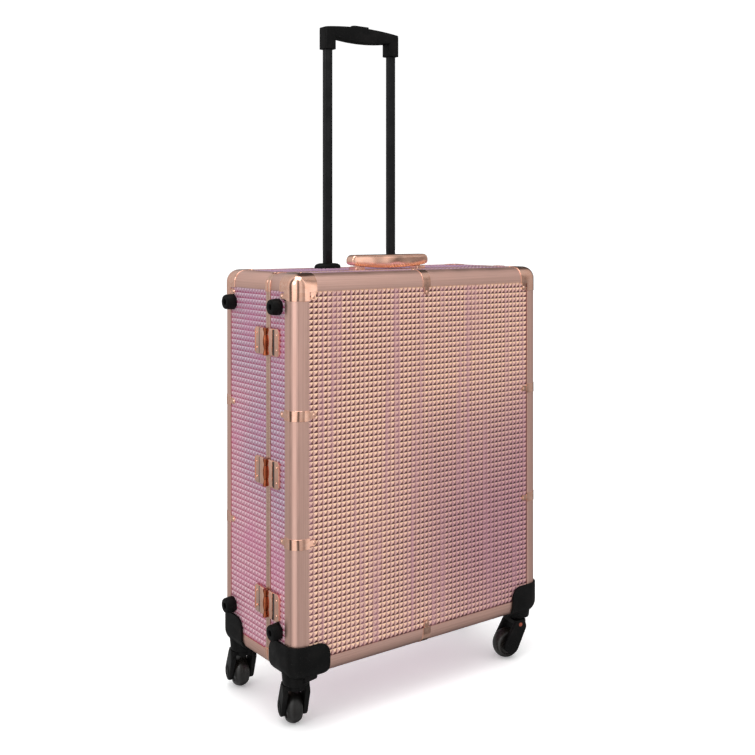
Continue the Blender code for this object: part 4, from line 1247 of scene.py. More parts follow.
# ====================================================================== hinges and feet
@dataclass
class Hinges:
    """The three pressed hinges across the seam on the left side."""

    sizes: CaseSizes
    finishes: Finishes
    axis: Vector
    count: int = 3
    flange_height: float = 0.0023      # out from the case's side
    housing_height: float = 0.0041
    housing_end: float = 0.0185        # from the seam
    neck: float = 0.0058
    recess_width: float = 0.0050
    corner: float = 0.0040
    knuckle: float = 0.0040
    waist: float = 0.0027
    pin_room: float = 0.0020
    rivet: float = 0.0017

    def build(self) -> None:
        """Build the leaves, their knuckles in a darker copper of painted shade, and dark strips of painted
        shade in the recesses.
        """
        for shell in (LID, BODY):
            knuckles, painted_recess_shades = [], []
            for number in range(1, self.count + 1):
                node = f"hinge_{shell.name}_leaf_{number}"
                low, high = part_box(node)
                middle = (low.z + high.z) / 2
                half = (high.z - low.z) / 2
                reach = abs((low.y if shell.side < 0 else high.y) - self.sizes.seam)
                leaf = self.leaf(f"hinge_{shell.name}_plate_{number}", shell, middle, half, reach)
                finished(leaf, self.finishes.polished, shell.body, [node])
                knuckles += self.knuckles(shell, middle, half)
                painted_recess_shades.append(self.recess(shell, middle, half))
            # knuckles in the darker copper of painted shade
            finished(joined(knuckles, f"hinge_{shell.name}_knuckles"), self.finishes.painted_shade_copper, shell.body)
            # dark strips of painted shade in the hinge grooves
            finished(joined(painted_recess_shades, f"hinge_{shell.name}_recesses"), self.finishes.painted_shade_fill, shell.body)
        for number in range(1, self.count + 1):
            dress_node(f"hinge_pin_{number}", self.finishes.painted_shade_copper)

    def span(self, shell: Shell, near: float, far: float) -> tuple[float, float]:
        """Turn two distances from the seam into a Y span of a shell."""
        return tuple(sorted((self.sizes.seam + shell.side * near, self.sizes.seam + shell.side * far)))

    def leaf(self, name: str, shell: Shell, middle: float, half: float, reach: float) -> Mesh:
        """Model one leaf: a flange with rivets and a raised housing beside the knuckles.

        Args:
            name: the leaf's name.
            shell: the half that it is fixed to.
            middle: the hinge's middle height.
            half: half its height.
            reach: how far it reaches from the seam.

        Returns:
            The leaf.
        """
        side = self.sizes.left
        flange = self.span(shell, self.housing_end, reach)
        plate = block(name, (side - self.flange_height, flange[0], middle - half),
                      (side + 0.001, flange[1], middle + half))
        outer_y = flange[0] if shell.side < 0 else flange[1]
        vertices, along_x = plate.data.vertices, runs_along(plate, 0)
        round_edges(plate, self.corner, 1, lambda edge: along_x(edge)
                    and abs(vertices[edge.vertices[0]].co.y - outer_y) < HAIRLINE)
        body = self.span(shell, self.neck, self.housing_end + 0.0004)
        housing = block("housing", (side - self.housing_height, body[0], middle - half),
                        (side - 0.0004, body[1], middle + half))
        vertices_h, along_y = housing.data.vertices, runs_along(housing, 1)
        round_edges(housing, 0.0022, 4, lambda edge: along_y(edge)
                    and vertices_h[edge.vertices[0]].co.x < side - self.housing_height / 2)
        lip = self.span(shell, reach - 0.0022, reach - 0.0008)
        bead = block("bead", (side - self.flange_height - 0.0006, lip[0], middle - half + self.corner),
                     (side - self.flange_height + 0.0004, lip[1], middle + half - self.corner))
        combine(plate, [housing, bead], "UNION")
        soften(plate, 0.0005, 2, math.radians(50))
        centre_y = self.sizes.seam + shell.side * (self.housing_end + self.recess_width + reach) / 2
        rivets = [turned("rivet", [(self.rivet, -0.0004), (self.rivet, 0.0004), (self.rivet * 0.7, 0.0010),
                                   (self.rivet * 0.3, 0.0012)],
                         (side - self.flange_height, centre_y, middle + lift), (-1, 0, 0), 16)
                  for lift in (-half * 0.55, half * 0.55)]
        return joined([plate, *rivets], name)

    def recess(self, shell: Shell, middle: float, half: float) -> Mesh:
        """Model a dark strip between a leaf's housing and its flange: painted shade in the groove."""
        run = self.span(shell, self.housing_end + 0.0002, self.housing_end + self.recess_width)
        strip = block("recess",
                      (self.sizes.left - self.flange_height - 0.0003, run[0], middle - half + 0.0012),
                      (self.sizes.left - 0.0004, run[1], middle + half - 0.0012))
        return soften(strip, 0.0002, 1)

    def knuckles(self, shell: Shell, middle: float, half: float) -> list[Mesh]:
        """Model a leaf's share of the barrel, waisted towards its neighbours.

        Args:
            shell: the half.
            middle: the hinge's middle height.
            half: half its height.

        Returns:
            The knuckles, bored for the pin.
        """
        gap, quarter = 0.0002, half / 2
        made = []
        if shell is LID:
            runs = [(-quarter + gap, quarter - gap, (self.waist, self.knuckle, self.knuckle, self.waist))]
        else:
            runs = [(-half, -quarter - gap,
                     (self.knuckle, self.knuckle * 0.95, self.waist, self.waist * 0.92)),
                    (quarter + gap, half, (self.waist * 0.92, self.waist, self.knuckle * 0.95, self.knuckle))]
        for low, high, radii in runs:
            places = (low, low + (high - low) * 0.32, low + (high - low) * 0.68, high)
            barrel = turned("knuckle", list(zip(radii, places)), (self.axis.x, self.axis.y, middle), steps=24)
            run = self.span(shell, 0.0, self.neck + 0.0006)
            web = block("web", (self.sizes.left - self.housing_height + 0.0004, run[0], middle + low),
                        (self.sizes.left - 0.0009, run[1], middle + high))
            combine(barrel, [web], "UNION")
            bore = turned("bore", [(self.pin_room, low - half), (self.pin_room, high + half)],
                          (self.axis.x, self.axis.y, middle), steps=20)
            combine(barrel, [bore], "DIFFERENCE")
            made.append(barrel)
        return made


@dataclass
class SideFeet:
    """The four round feet on the left side, which it lies on."""

    finishes: Finishes
    barrel: tuple[tuple[float, float], ...] = (
        (0.0122, 0.0), (0.0130, 0.0012), (0.0130, 0.0060), (0.0126, 0.0075), (0.0121, 0.0130),
        (0.0113, 0.0146), (0.0102, 0.0152))
    hole: tuple[tuple[float, float], ...] = ((0.0054, 0.0152), (0.0048, 0.0146), (0.0045, 0.0085))

    def build(self) -> None:
        """Turn each foot with its screw hole and a cross recess at its bottom."""
        for level in ("upper", "lower"):
            for end in ("front", "rear"):
                node = f"side_foot_{level}_{end}"
                low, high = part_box(node)
                base = high.x
                stretch = (base - low.x) / self.barrel[-1][1]
                rings = [(radius, height * stretch) for radius, height in self.barrel + self.hole]
                centre = (base, (low.y + high.y) / 2, (low.z + high.z) / 2)
                foot = turned(f"rubber_foot_{level}_{end}", rings, centre, (-1, 0, 0), 40)
                finished(foot, self.finishes.plastic, LID.body if end == "front" else BODY.body,
                         [node])
                head = turned("screw", [(0.0040, 0.0), (0.0038, 0.0012), (0.0030, 0.0018)],
                              (base - 0.0076 * stretch, centre[1], centre[2]), (-1, 0, 0), 24)
                slots = [block("slot", (base - 0.02, centre[1] - a, centre[2] - b),
                               (base - 0.0076 * stretch - 0.0010, centre[1] + a, centre[2] + b))
                         for a, b in ((0.0022, 0.0005), (0.0005, 0.0022))]
                combine(head, slots, "DIFFERENCE")
                finished(head, self.finishes.steel, LID.body if end == "front" else BODY.body)


# ====================================================================== casters
@dataclass
class Casters:
    """Corner brackets, forks, wheels and axles of the four swivel casters."""

    sizes: CaseSizes
    finishes: Finishes
    wall: float = 0.0035
    reach_x: float = 0.064
    reach_y: float = 0.0690
    height: float = 0.052
    lobe_round: float = 0.0195
    boss: tuple[tuple[float, float], ...] = (
        (0.0190, -0.0130), (0.0207, -0.0124), (0.0214, -0.0100), (0.0218, -0.0050), (0.0223, 0.0000),
        (0.0228, 0.0045), (0.0231, 0.0085), (0.0231, 0.0120))
    stem_room: float = 0.0050
    stem: float = 0.0043
    trail: float = 0.024
    wheel_radius: float = 0.026
    wheel_half: float = 0.012
    fork_half: float = 0.0217
    cheek: float = 0.0085
    hub_radius: float = 0.0145
    crown_low: float = 0.0622
    crown_high: float = 0.0705
    funnel: tuple[tuple[float, float], ...] = (
        (0.0212, -0.0100), (0.0216, -0.0088), (0.0232, -0.0070), (0.0262, -0.0052), (0.0300, -0.0040),
        (0.0330, -0.0034), (0.0330, 0.0100))
    funnel_clip: float = 0.0085
    lobe_foot: float = 0.0150

    def build(self) -> None:
        """Build every caster from one bracket, one fork and one wheel."""
        corner = self.bracket()
        fork, wheel, tab = self.fork(), self.wheel(), self.tab()
        middle_y = (self.sizes.front + self.sizes.back) / 2
        for joint in frame["joints"]:
            if not joint["name"].startswith("swivel_"):
                continue
            place = Vector(joint["pos_m"])
            label = joint["child"].removeprefix("swivel_")
            mirror_x = -1 if place.x > 0 else 1
            mirror_y = -1 if place.y > middle_y else 1
            flip = Matrix.Diagonal((mirror_x, mirror_y, 1, 1))
            shift = Matrix.Translation((0.0, middle_y * (1 - mirror_y), 0.0))
            piece = copy_of(corner, f"corner_bracket_{label}", shift @ flip)
            finished(piece, self.finishes.plastic, joint["parent"],
                     [f"caster_bracket_{label}"])
            axle_low, axle_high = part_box(f"axle_{label}")
            aim = (axle_low + axle_high) / 2 - place
            trail_turn = Matrix.Rotation(math.atan2(aim.y, aim.x), 4, "Z")
            stand = Matrix.Translation((place.x, place.y, 0.0)) @ trail_turn
            finished(copy_of(fork, f"caster_fork_{label}", stand), self.finishes.plastic, joint["child"],
                     [f"fork_{label}"])
            finished(copy_of(wheel, f"caster_wheel_{label}", stand), self.finishes.rubber, f"wheel_{label}",
                     [f"wheel_{label}"])
            dress_node(f"axle_{label}", self.finishes.steel)
            if label == "front_right":
                finished(copy_of(tab, f"fork_tab_{label}", stand), self.finishes.release_tab, joint["child"])
        for pattern in (corner, fork, wheel, tab):
            bpy.data.objects.remove(pattern, do_unlink=True)

    def corner_block(self, grow: float, far: float = 0.25) -> Mesh:
        """Make the case's own front left lower corner, grown outwards."""
        sizes = self.sizes
        solid = block("corner", sizes.low - Vector((grow,) * 3), sizes.low + Vector((far,) * 3))
        return round_edges(solid, sizes.edge_radius + grow, 8)

    def bracket(self) -> Mesh:
        """Model the front left bracket: a wall round the corner, cut to two lobes, and a flared boss.

        Returns:
            The pattern that the other three mirror.
        """
        sizes, far = self.sizes, 0.5
        centre = self.front_left_swivel()
        wrap = self.lobed(self.corner_block(self.wall))
        boss = turned("boss", self.boss, (centre.x, centre.y, sizes.bottom), steps=48)
        funnel = turned("funnel", self.funnel, (centre.x, centre.y, sizes.bottom), steps=48)
        clip = block("clip", (centre.x, sizes.front - self.wall + self.funnel_clip, sizes.bottom - far),
                     sizes.low + Vector((far,) * 3))
        combine(funnel, [clip], "INTERSECT")
        combine(wrap, [boss, funnel], "UNION")
        combine(wrap, [self.corner_block(0.0003, 0.30)], "DIFFERENCE")
        bore = turned("bore", [(self.stem_room, -0.05), (self.stem_room, 0.02)],
                      (centre.x, centre.y, sizes.bottom), steps=24)
        combine(wrap, [bore], "DIFFERENCE")
        return soften(wrap, 0.0008, 2, math.radians(48))

    def lobed(self, wrap: Mesh) -> Mesh:
        """Cut the wall to a rounded lobe on the front and one on the side.

        Args:
            wrap: the grown corner block.

        Returns:
            The same object.
        """
        sizes, far, ground = self.sizes, 0.5, self.sizes.bottom - self.wall - 0.0002
        top = sizes.bottom + self.height
        lobes = [(block("front_lobe", (sizes.left - far, sizes.front - far, ground),
                        (sizes.left + self.reach_x, sizes.front + far, top)), 1, 0),
                 (block("side_lobe", (sizes.left - far, sizes.front - far, ground),
                        (sizes.left + far, sizes.front + self.reach_y, top)), 0, 1)]
        for lobe, across, end in lobes:
            corners, along, limit = lobe.data.vertices, runs_along(lobe, across), sizes.low[end]
            for radius, upper in ((self.lobe_round, True), (self.lobe_foot, False)):
                round_edges(lobe, radius, 8, lambda edge: along(edge)
                            and corners[edge.vertices[0]].co[end] > limit
                            and (corners[edge.vertices[0]].co.z > sizes.bottom) == upper)
        return combine(wrap, [lobe for lobe, _, _ in lobes], "INTERSECT")

    def front_left_swivel(self) -> Vector:
        """Find the swivel axis of the front left caster."""
        return next(Vector(joint["pos_m"]) for joint in frame["joints"]
                    if joint["child"] == "swivel_front_left")

    def tab(self) -> Mesh:
        """Model the small coloured button on a fork's cheek, about the swivel axis."""
        return turned("tab_pattern", [(0.0034, -0.0010), (0.0034, 0.0003), (0.0026, 0.0008)],
                      (0.0070, self.fork_half, self.crown_high - 0.0085), (0, 1, 0), 32)

    def fork(self) -> Mesh:
        """Model one fork about its swivel axis: two rounded cheeks under a crown, with hub caps."""
        half = self.fork_half
        parts = []
        for side in (-1, 1):
            inner, outer = side * (half - self.cheek), side * half
            start = min(inner, outer)
            rounds = [turned("round", [(radius, 0.0), (radius, self.cheek)], (x, start, z), (0, 1, 0), 40)
                      for x, z, radius in ((0.0065, self.crown_high - 0.0128, 0.0128),
                                           (self.trail, self.wheel_radius, self.hub_radius))]
            cheek = joined(rounds, "cheek")
            with editing(cheek, Element.VERTEX):
                bpy.ops.mesh.convex_hull()
                bpy.ops.mesh.dissolve_limited(angle_limit=math.radians(1))
            soften(cheek, 0.0024, 4, math.radians(50))
            parts.append(cheek)
            cap = turned("hub_cap", [(0.0105, -0.0006), (0.0105, 0.0004), (0.0098, 0.0009), (0.0062, 0.0009),
                                     (0.0056, 0.0002)],
                         (self.trail, outer, self.wheel_radius), (0, side, 0), 40)
            parts.append(cap)
        crown = turned("crown", [(0.0128, self.crown_low), (0.0132, self.crown_low + 0.0010),
                                 (0.0136, self.crown_high - 0.0020), (0.0128, self.crown_high - 0.0005),
                                 (0.0100, self.crown_high)], steps=48)
        bridge = block("bridge", (-0.0065, -half + 0.0004, self.crown_low),
                       (0.0175, half - 0.0004, self.crown_high - 0.0012))
        round_edges(bridge, 0.0055, 4, runs_along(bridge, 2))
        stem = turned("stem", [(self.stem, self.crown_high - 0.004), (self.stem, self.crown_high + 0.0132)],
                      steps=24)
        fork = crown
        combine(fork, [bridge, parts[0], parts[2], stem], "UNION")
        soften(fork, 0.0007, 2, math.radians(45))
        return joined([fork, parts[1], parts[3]], "fork_pattern")

    def wheel(self) -> Mesh:
        """Model one wheel: a rounded tyre with a ring groove, a dished web and a hub."""
        half, radius = self.wheel_half, self.wheel_radius
        side = [(0.0085, half - 0.0002), (0.0094, half - 0.0022), (0.0172, half - 0.0030),
                (0.0180, half - 0.0008), (0.0188, half - 0.0003), (0.0193, half - 0.0011),
                (0.0199, half - 0.0011), (0.0204, half - 0.0003), (0.0216, half - 0.0012),
                (0.0231, half - 0.0030), (0.0244, half - 0.0054), (0.0253, half - 0.0080),
                (radius - 0.0002, half - 0.0102)]
        rings = [(r, -y) for r, y in side] + [(radius, 0.0)] + [(r, y) for r, y in reversed(side)]
        wheel = turned("wheel_pattern", rings, (self.trail, 0.0, radius), (0, 1, 0), 56)
        axle_low, axle_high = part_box("axle_front_left")
        room = (axle_high.z - axle_low.z) / 2 + 0.0003
        bore = turned("bore", [(room, -half * 2), (room, half * 2)], (self.trail, 0.0, radius), (0, 1, 0), 24)
        return combine(wheel, [bore], "DIFFERENCE")


# ====================================================================== handles
def crowned(piece: Mesh, crest: float, rise: float, half: float, side: int) -> Mesh:
    """Cut the top or the underside of a bar to one long arc.

    Args:
        piece: the bar, which runs along X and is centred on X = 0.
        crest: height of the arc in the middle of the bar.
        rise: how far the arc falls back at the bar's ends.
        half: half the bar's length.
        side: 1 for the top, -1 for the underside.

    Returns:
        The same object.
    """
    radius = (half ** 2 + rise ** 2) / (2 * rise)
    round_bar = turned("arc", [(radius, -0.2), (radius, 0.4)], (0.0, 0.0, crest - side * radius), (0, 1, 0),
                       max(180, round(radius * 700)))
    return combine(piece, [round_bar], "INTERSECT")


@dataclass
class TrolleyHandle:
    """The pull-out handle: tubes, grip, release button and the collars on the top."""

    sizes: CaseSizes
    finishes: Finishes
    tube_round: float = 0.0026
    grip_bar: float = 0.0260
    socket_width: float = 0.0225
    arch: float = 0.0055
    belly: float = 0.0045
    edge: float = 0.0028
    room: float = 0.0005

    def build(self) -> None:
        """Build every piece of the handle."""
        for label in ("left", "right"):
            low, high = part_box(f"handle_tube_{label}")
            tube = block(f"pull_tube_{label}", low, high)
            round_edges(tube, self.tube_round, 6, runs_along(tube, 2))
            finished(tube, self.finishes.tube, "trolley", [f"handle_tube_{label}"])
            self.collar(label, low, high)
        self.grip()
        self.button()
        dress_node("handle_housing", self.finishes.steel)

    def collar(self, label: str, tube_low: Vector, tube_high: Vector) -> None:
        """Model the domed oval collar round a tube.

        Args:
            label: left or right.
            tube_low: the tube's lowest corner.
            tube_high: the tube's highest corner.
        """
        node = f"handle_collar_{label}"
        low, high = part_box(node)
        length, depth, rise = high.x - low.x, high.y - low.y, high.z - self.sizes.top
        rings = [(0.5, -0.0022), (0.5, rise * 0.30), (0.47, rise * 0.62), (0.40, rise * 0.88), (0.30, rise),
                 (0.24, rise)]
        collar = turned(f"tube_collar_{label}", rings, steps=56)
        collar.scale = (length, depth, 1.0)
        collar.location = ((low.x + high.x) / 2, (low.y + high.y) / 2, self.sizes.top + 0.0001)
        settle(collar, collar.name)
        room = Vector((self.room, self.room, 0.0))
        hole = block("hole", tube_low - room, Vector((tube_high.x, tube_high.y, high.z + 0.01)) + room)
        round_edges(hole, self.tube_round + self.room, 6, runs_along(hole, 2))
        combine(collar, [hole], "DIFFERENCE")
        soften(collar, 0.0004, 2, math.radians(50))
        finished(collar, self.finishes.plastic, BODY.body, [node])

    def grip(self) -> None:
        """Model the grip: an arched bar with a full belly between two sockets."""
        low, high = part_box("handle_grip")
        span = (high.x - low.x) / 2
        inner = span - self.socket_width
        under = high.z - self.grip_bar + 0.0004
        bar = block("pull_grip", (low.x, low.y, under), high)
        round_edges(bar, 0.0045, 4, runs_along(bar, 2))
        crowned(bar, high.z, self.arch, span, 1)
        crowned(bar, under, self.belly, inner, -1)
        sockets = []
        for side in (-1, 1):
            socket = block("socket", (side * span, low.y, low.z),
                           (side * (span - self.socket_width), high.y, high.z - self.arch - 0.003))
            round_edges(socket, 0.004, 4, runs_along(socket, 2))
            sockets.append(socket)
        combine(bar, sockets, "UNION")
        for label in ("left", "right"):
            tube_low, tube_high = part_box(f"handle_tube_{label}")
            room = Vector((self.room, self.room, self.room)) * 0.6
            hole = block("hole", tube_low - room, tube_high + room)
            round_edges(hole, self.tube_round + self.room, 6, runs_along(hole, 2))
            combine(bar, [hole], "DIFFERENCE")
        button_low, button_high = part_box("release_button")
        room = Vector((0.0007, 0.0007, 0.0040))
        pocket = block("pocket", button_low - room, button_high + room)
        round_edges(pocket, 0.0055, 6, runs_along(pocket, 2))
        combine(bar, [pocket], "DIFFERENCE")
        soften(bar, self.edge, 4, math.radians(55))
        finished(bar, self.finishes.plastic, "trolley", ["handle_grip"])

    def button(self) -> None:
        """Model the release button with a domed, ridged top."""
        low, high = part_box("release_button")
        button = block("grip_button", low, high)
        round_edges(button, 0.0052, 6, runs_along(button, 2))
        ridges = [block("ridge", (x - 0.0006, low.y + 0.003, high.z - 0.0006), (x + 0.0006, high.y - 0.003,
                                                                              high.z + 0.01))
                  for x in (-0.008, -0.004, 0.0, 0.004, 0.008)]
        combine(button, ridges, "DIFFERENCE")
        soften(button, 0.0005, 2, math.radians(50))
        finished(button, self.finishes.plastic, "button", ["release_button"])


@dataclass
class CarryHandle:
    """The polished handle on the top, which is pulled up to carry."""

    sizes: CaseSizes
    finishes: Finishes
    end_height: float = 0.0080
    belly_height: float = 0.0015
    end_round: float = 0.0092
    edge: float = 0.0042
    # count of copper ribs along each edge: a painted reflection of the studded top
    stud_reflection_ribs: int = 44
    rib_radius: float = 0.0013

    def build(self) -> None:
        """Build the handle, copper ribs on its belly that paint the studded top's reflection, and its end
        brackets.
        """
        low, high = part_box("carry_handle")
        half = (high.x - low.x) / 2
        middle_y = (low.y + high.y) / 2
        base = self.sizes.top + self.belly_height
        bar = block("carry_grip", (low.x, low.y, base), high)
        rise = self.end_height - self.belly_height
        corners, along_y = bar.data.vertices, runs_along(bar, 1)
        round_edges(bar, self.end_round, 6, lambda edge: along_y(edge)
                    and corners[edge.vertices[0]].co.z > high.z - HAIRLINE)
        crowned(bar, base, rise, half, -1)
        soften(bar, self.edge, 5, math.radians(50))
        tangs = []
        for label in ("left", "right"):
            bracket_low, bracket_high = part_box(f"carry_bracket_{label}")
            x = (bracket_low.x + bracket_high.x) / 2
            tangs.append(block("tang", (x - 0.0015, middle_y - 0.006, low.z),
                               (x + 0.0015, middle_y + 0.006, self.sizes.top + self.end_height + 0.004)))
            dress_node(f"carry_bracket_{label}", self.finishes.polished)
        finished(joined([bar, *tangs], "carry_grip"), self.finishes.polished, "carry_handle",
                 ["carry_handle"])
        self.paint_stud_reflection_ribs(half, low, high, rise)

    def paint_stud_reflection_ribs(self, half: float, low: Vector, high: Vector, rise: float) -> None:
        """Model slanted copper ribs along the belly's front and rear lower edges, a painted reflection of the
        studded top in the polished underside.

        Args:
            half: half the handle's length.
            low: its lowest corner.
            high: its highest corner.
            rise: how much higher its underside is at the ends.
        """
        pattern = turned("rib", [(self.rib_radius * 0.4, -0.0040), (self.rib_radius, -0.0030),
                                 (self.rib_radius, 0.0030), (self.rib_radius * 0.4, 0.0040)], steps=10)
        stud_reflection_ribs = []
        for index in range(self.stud_reflection_ribs):
            share = -0.9 + 1.8 * index / (self.stud_reflection_ribs - 1)
            z = self.sizes.top + self.belly_height + rise * share * share + self.edge * 0.75
            for y, lean in ((low.y + 0.0009, 24), (high.y - 0.0009, -24)):
                place = Matrix.Translation((half * share, y, z)) @ Matrix.Rotation(math.radians(lean), 4, "Y")
                stud_reflection_ribs.append(copy_of(pattern, "rib", place))
        bpy.data.objects.remove(pattern, do_unlink=True)
        # copper ribs: painted reflection of the studded top
        finished(joined(stud_reflection_ribs, "carry_grip_ribs"), self.finishes.stud_reflection_ribs, "carry_handle")


# ====================================================================== latches and inside
@dataclass
class Latches:
    """The two draw latches on the right side."""

    sizes: CaseSizes
    finishes: Finishes

    def build(self) -> None:
        """Build base, lever and keeper of each latch."""
        for level in ("upper", "lower"):
            joint = next(j for j in frame["joints"] if j["child"] == f"latch_{level}")
            pivot = Vector(joint["pos_m"])
            self.base(level, pivot)
            self.lever(level, pivot)
            self.keeper(level)

    def base(self, level: str, pivot: Vector) -> None:
        """Model the riveted base with its two lugs."""
        node = f"latch_base_{level}"
        low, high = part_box(node)
        face = self.sizes.right
        rim_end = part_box("body_rim")[1].y + 0.0004
        plate = block(f"latch_plate_{level}", (face + 0.0003, low.y, low.z), (face + 0.0021, high.y, high.z))
        foot = block("foot", (face - 0.0022, rim_end, low.z), (face + 0.0010, high.y, high.z))
        lugs = []
        for z_low, z_high in ((low.z, low.z + 0.0042), (high.z - 0.0042, high.z)):
            lug = block("lug", (face + 0.0012, pivot.y - 0.0034, z_low),
                        (pivot.x + 0.0030, pivot.y + 0.0030, z_high))
            lugs.append(round_edges(lug, 0.0024, 4, runs_along(lug, 2)))
        combine(plate, [foot, *lugs], "UNION")
        bore = turned("bore", [(0.0017, -0.0148), (0.0017, 0.0148)], pivot, steps=20)
        combine(plate, [bore], "DIFFERENCE")
        soften(plate, 0.0005, 2, math.radians(50))
        rivets = [turned("rivet", [(0.0020, -0.0004), (0.0020, 0.0004), (0.0012, 0.0011)],
                         (face + 0.0021, high.y - 0.0040, z), (1, 0, 0), 18)
                  for z in (low.z + 0.007, high.z - 0.007)]
        finished(joined([plate, *rivets], plate.name), self.finishes.polished, BODY.body,
                 [node])

    def lever(self, level: str, pivot: Vector) -> None:
        """Model the lever: a curved plate round its barrel, with a rolled finger lip."""
        node = f"latch_lever_{level}"
        low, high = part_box(node)
        plate = block(f"latch_lever_plate_{level}", (pivot.x - 0.0009, low.y, low.z + 0.0048),
                      (pivot.x + 0.0009, pivot.y, high.z - 0.0048))
        corners, along_x = plate.data.vertices, runs_along(plate, 0)
        round_edges(plate, 0.005, 6, lambda edge: along_x(edge)
                    and corners[edge.vertices[0]].co.y < low.y + 0.001)
        span = (high.z - low.z) / 2 - 0.0048
        middle = (low.z + high.z) / 2
        barrel = turned("barrel", [(0.0028, -span), (0.0030, -span + 0.0008), (0.0030, span - 0.0008),
                                   (0.0028, span)], (pivot.x, pivot.y, middle), steps=28)
        lip = turned("lip", [(0.0010, -span * 0.62), (0.0014, -span * 0.55), (0.0014, span * 0.55),
                             (0.0010, span * 0.62)], (pivot.x + 0.0004, low.y + 0.0014, middle), steps=20)
        trunnion = turned("trunnion", [(0.0013, -0.0145), (0.0013, 0.0145)],
                          (pivot.x, pivot.y, middle), steps=16)
        combine(plate, [barrel, lip, trunnion], "UNION")
        bead = block("bead", (pivot.x + 0.0003, low.y + 0.006, middle - span * 0.5),
                     (pivot.x + 0.0014, pivot.y - 0.006, middle + span * 0.5))
        round_edges(bead, 0.0009, 3)
        combine(plate, [bead], "UNION")
        soften(plate, 0.0004, 2, math.radians(50))
        finished(plate, self.finishes.polished, f"latch_{level}", [node])

    def keeper(self, level: str) -> None:
        """Model the keeper plate and its button on the lid."""
        node = f"latch_strike_{level}"
        low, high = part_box(node)
        face, rim_end = self.sizes.right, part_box("lid_rim")[0].y - 0.0004
        plate = block(f"latch_keeper_{level}", (face + 0.0003, low.y, low.z), (face + 0.0021, high.y, high.z))
        foot = block("foot", (face - 0.0022, low.y, low.z), (face + 0.0010, rim_end, high.z))
        combine(plate, [foot], "UNION")
        soften(plate, 0.0005, 2, math.radians(50))
        middle = ((low.y + self.sizes.seam) / 2, (low.z + high.z) / 2)
        button = turned("keeper", [(0.0046, -0.0004), (0.0046, 0.0004), (0.0040, 0.0010), (0.0030, 0.0012)],
                        (face + 0.0021, *middle), (1, 0, 0), 28)
        finished(joined([plate, button], plate.name), self.finishes.polished, LID.body,
                 [node])


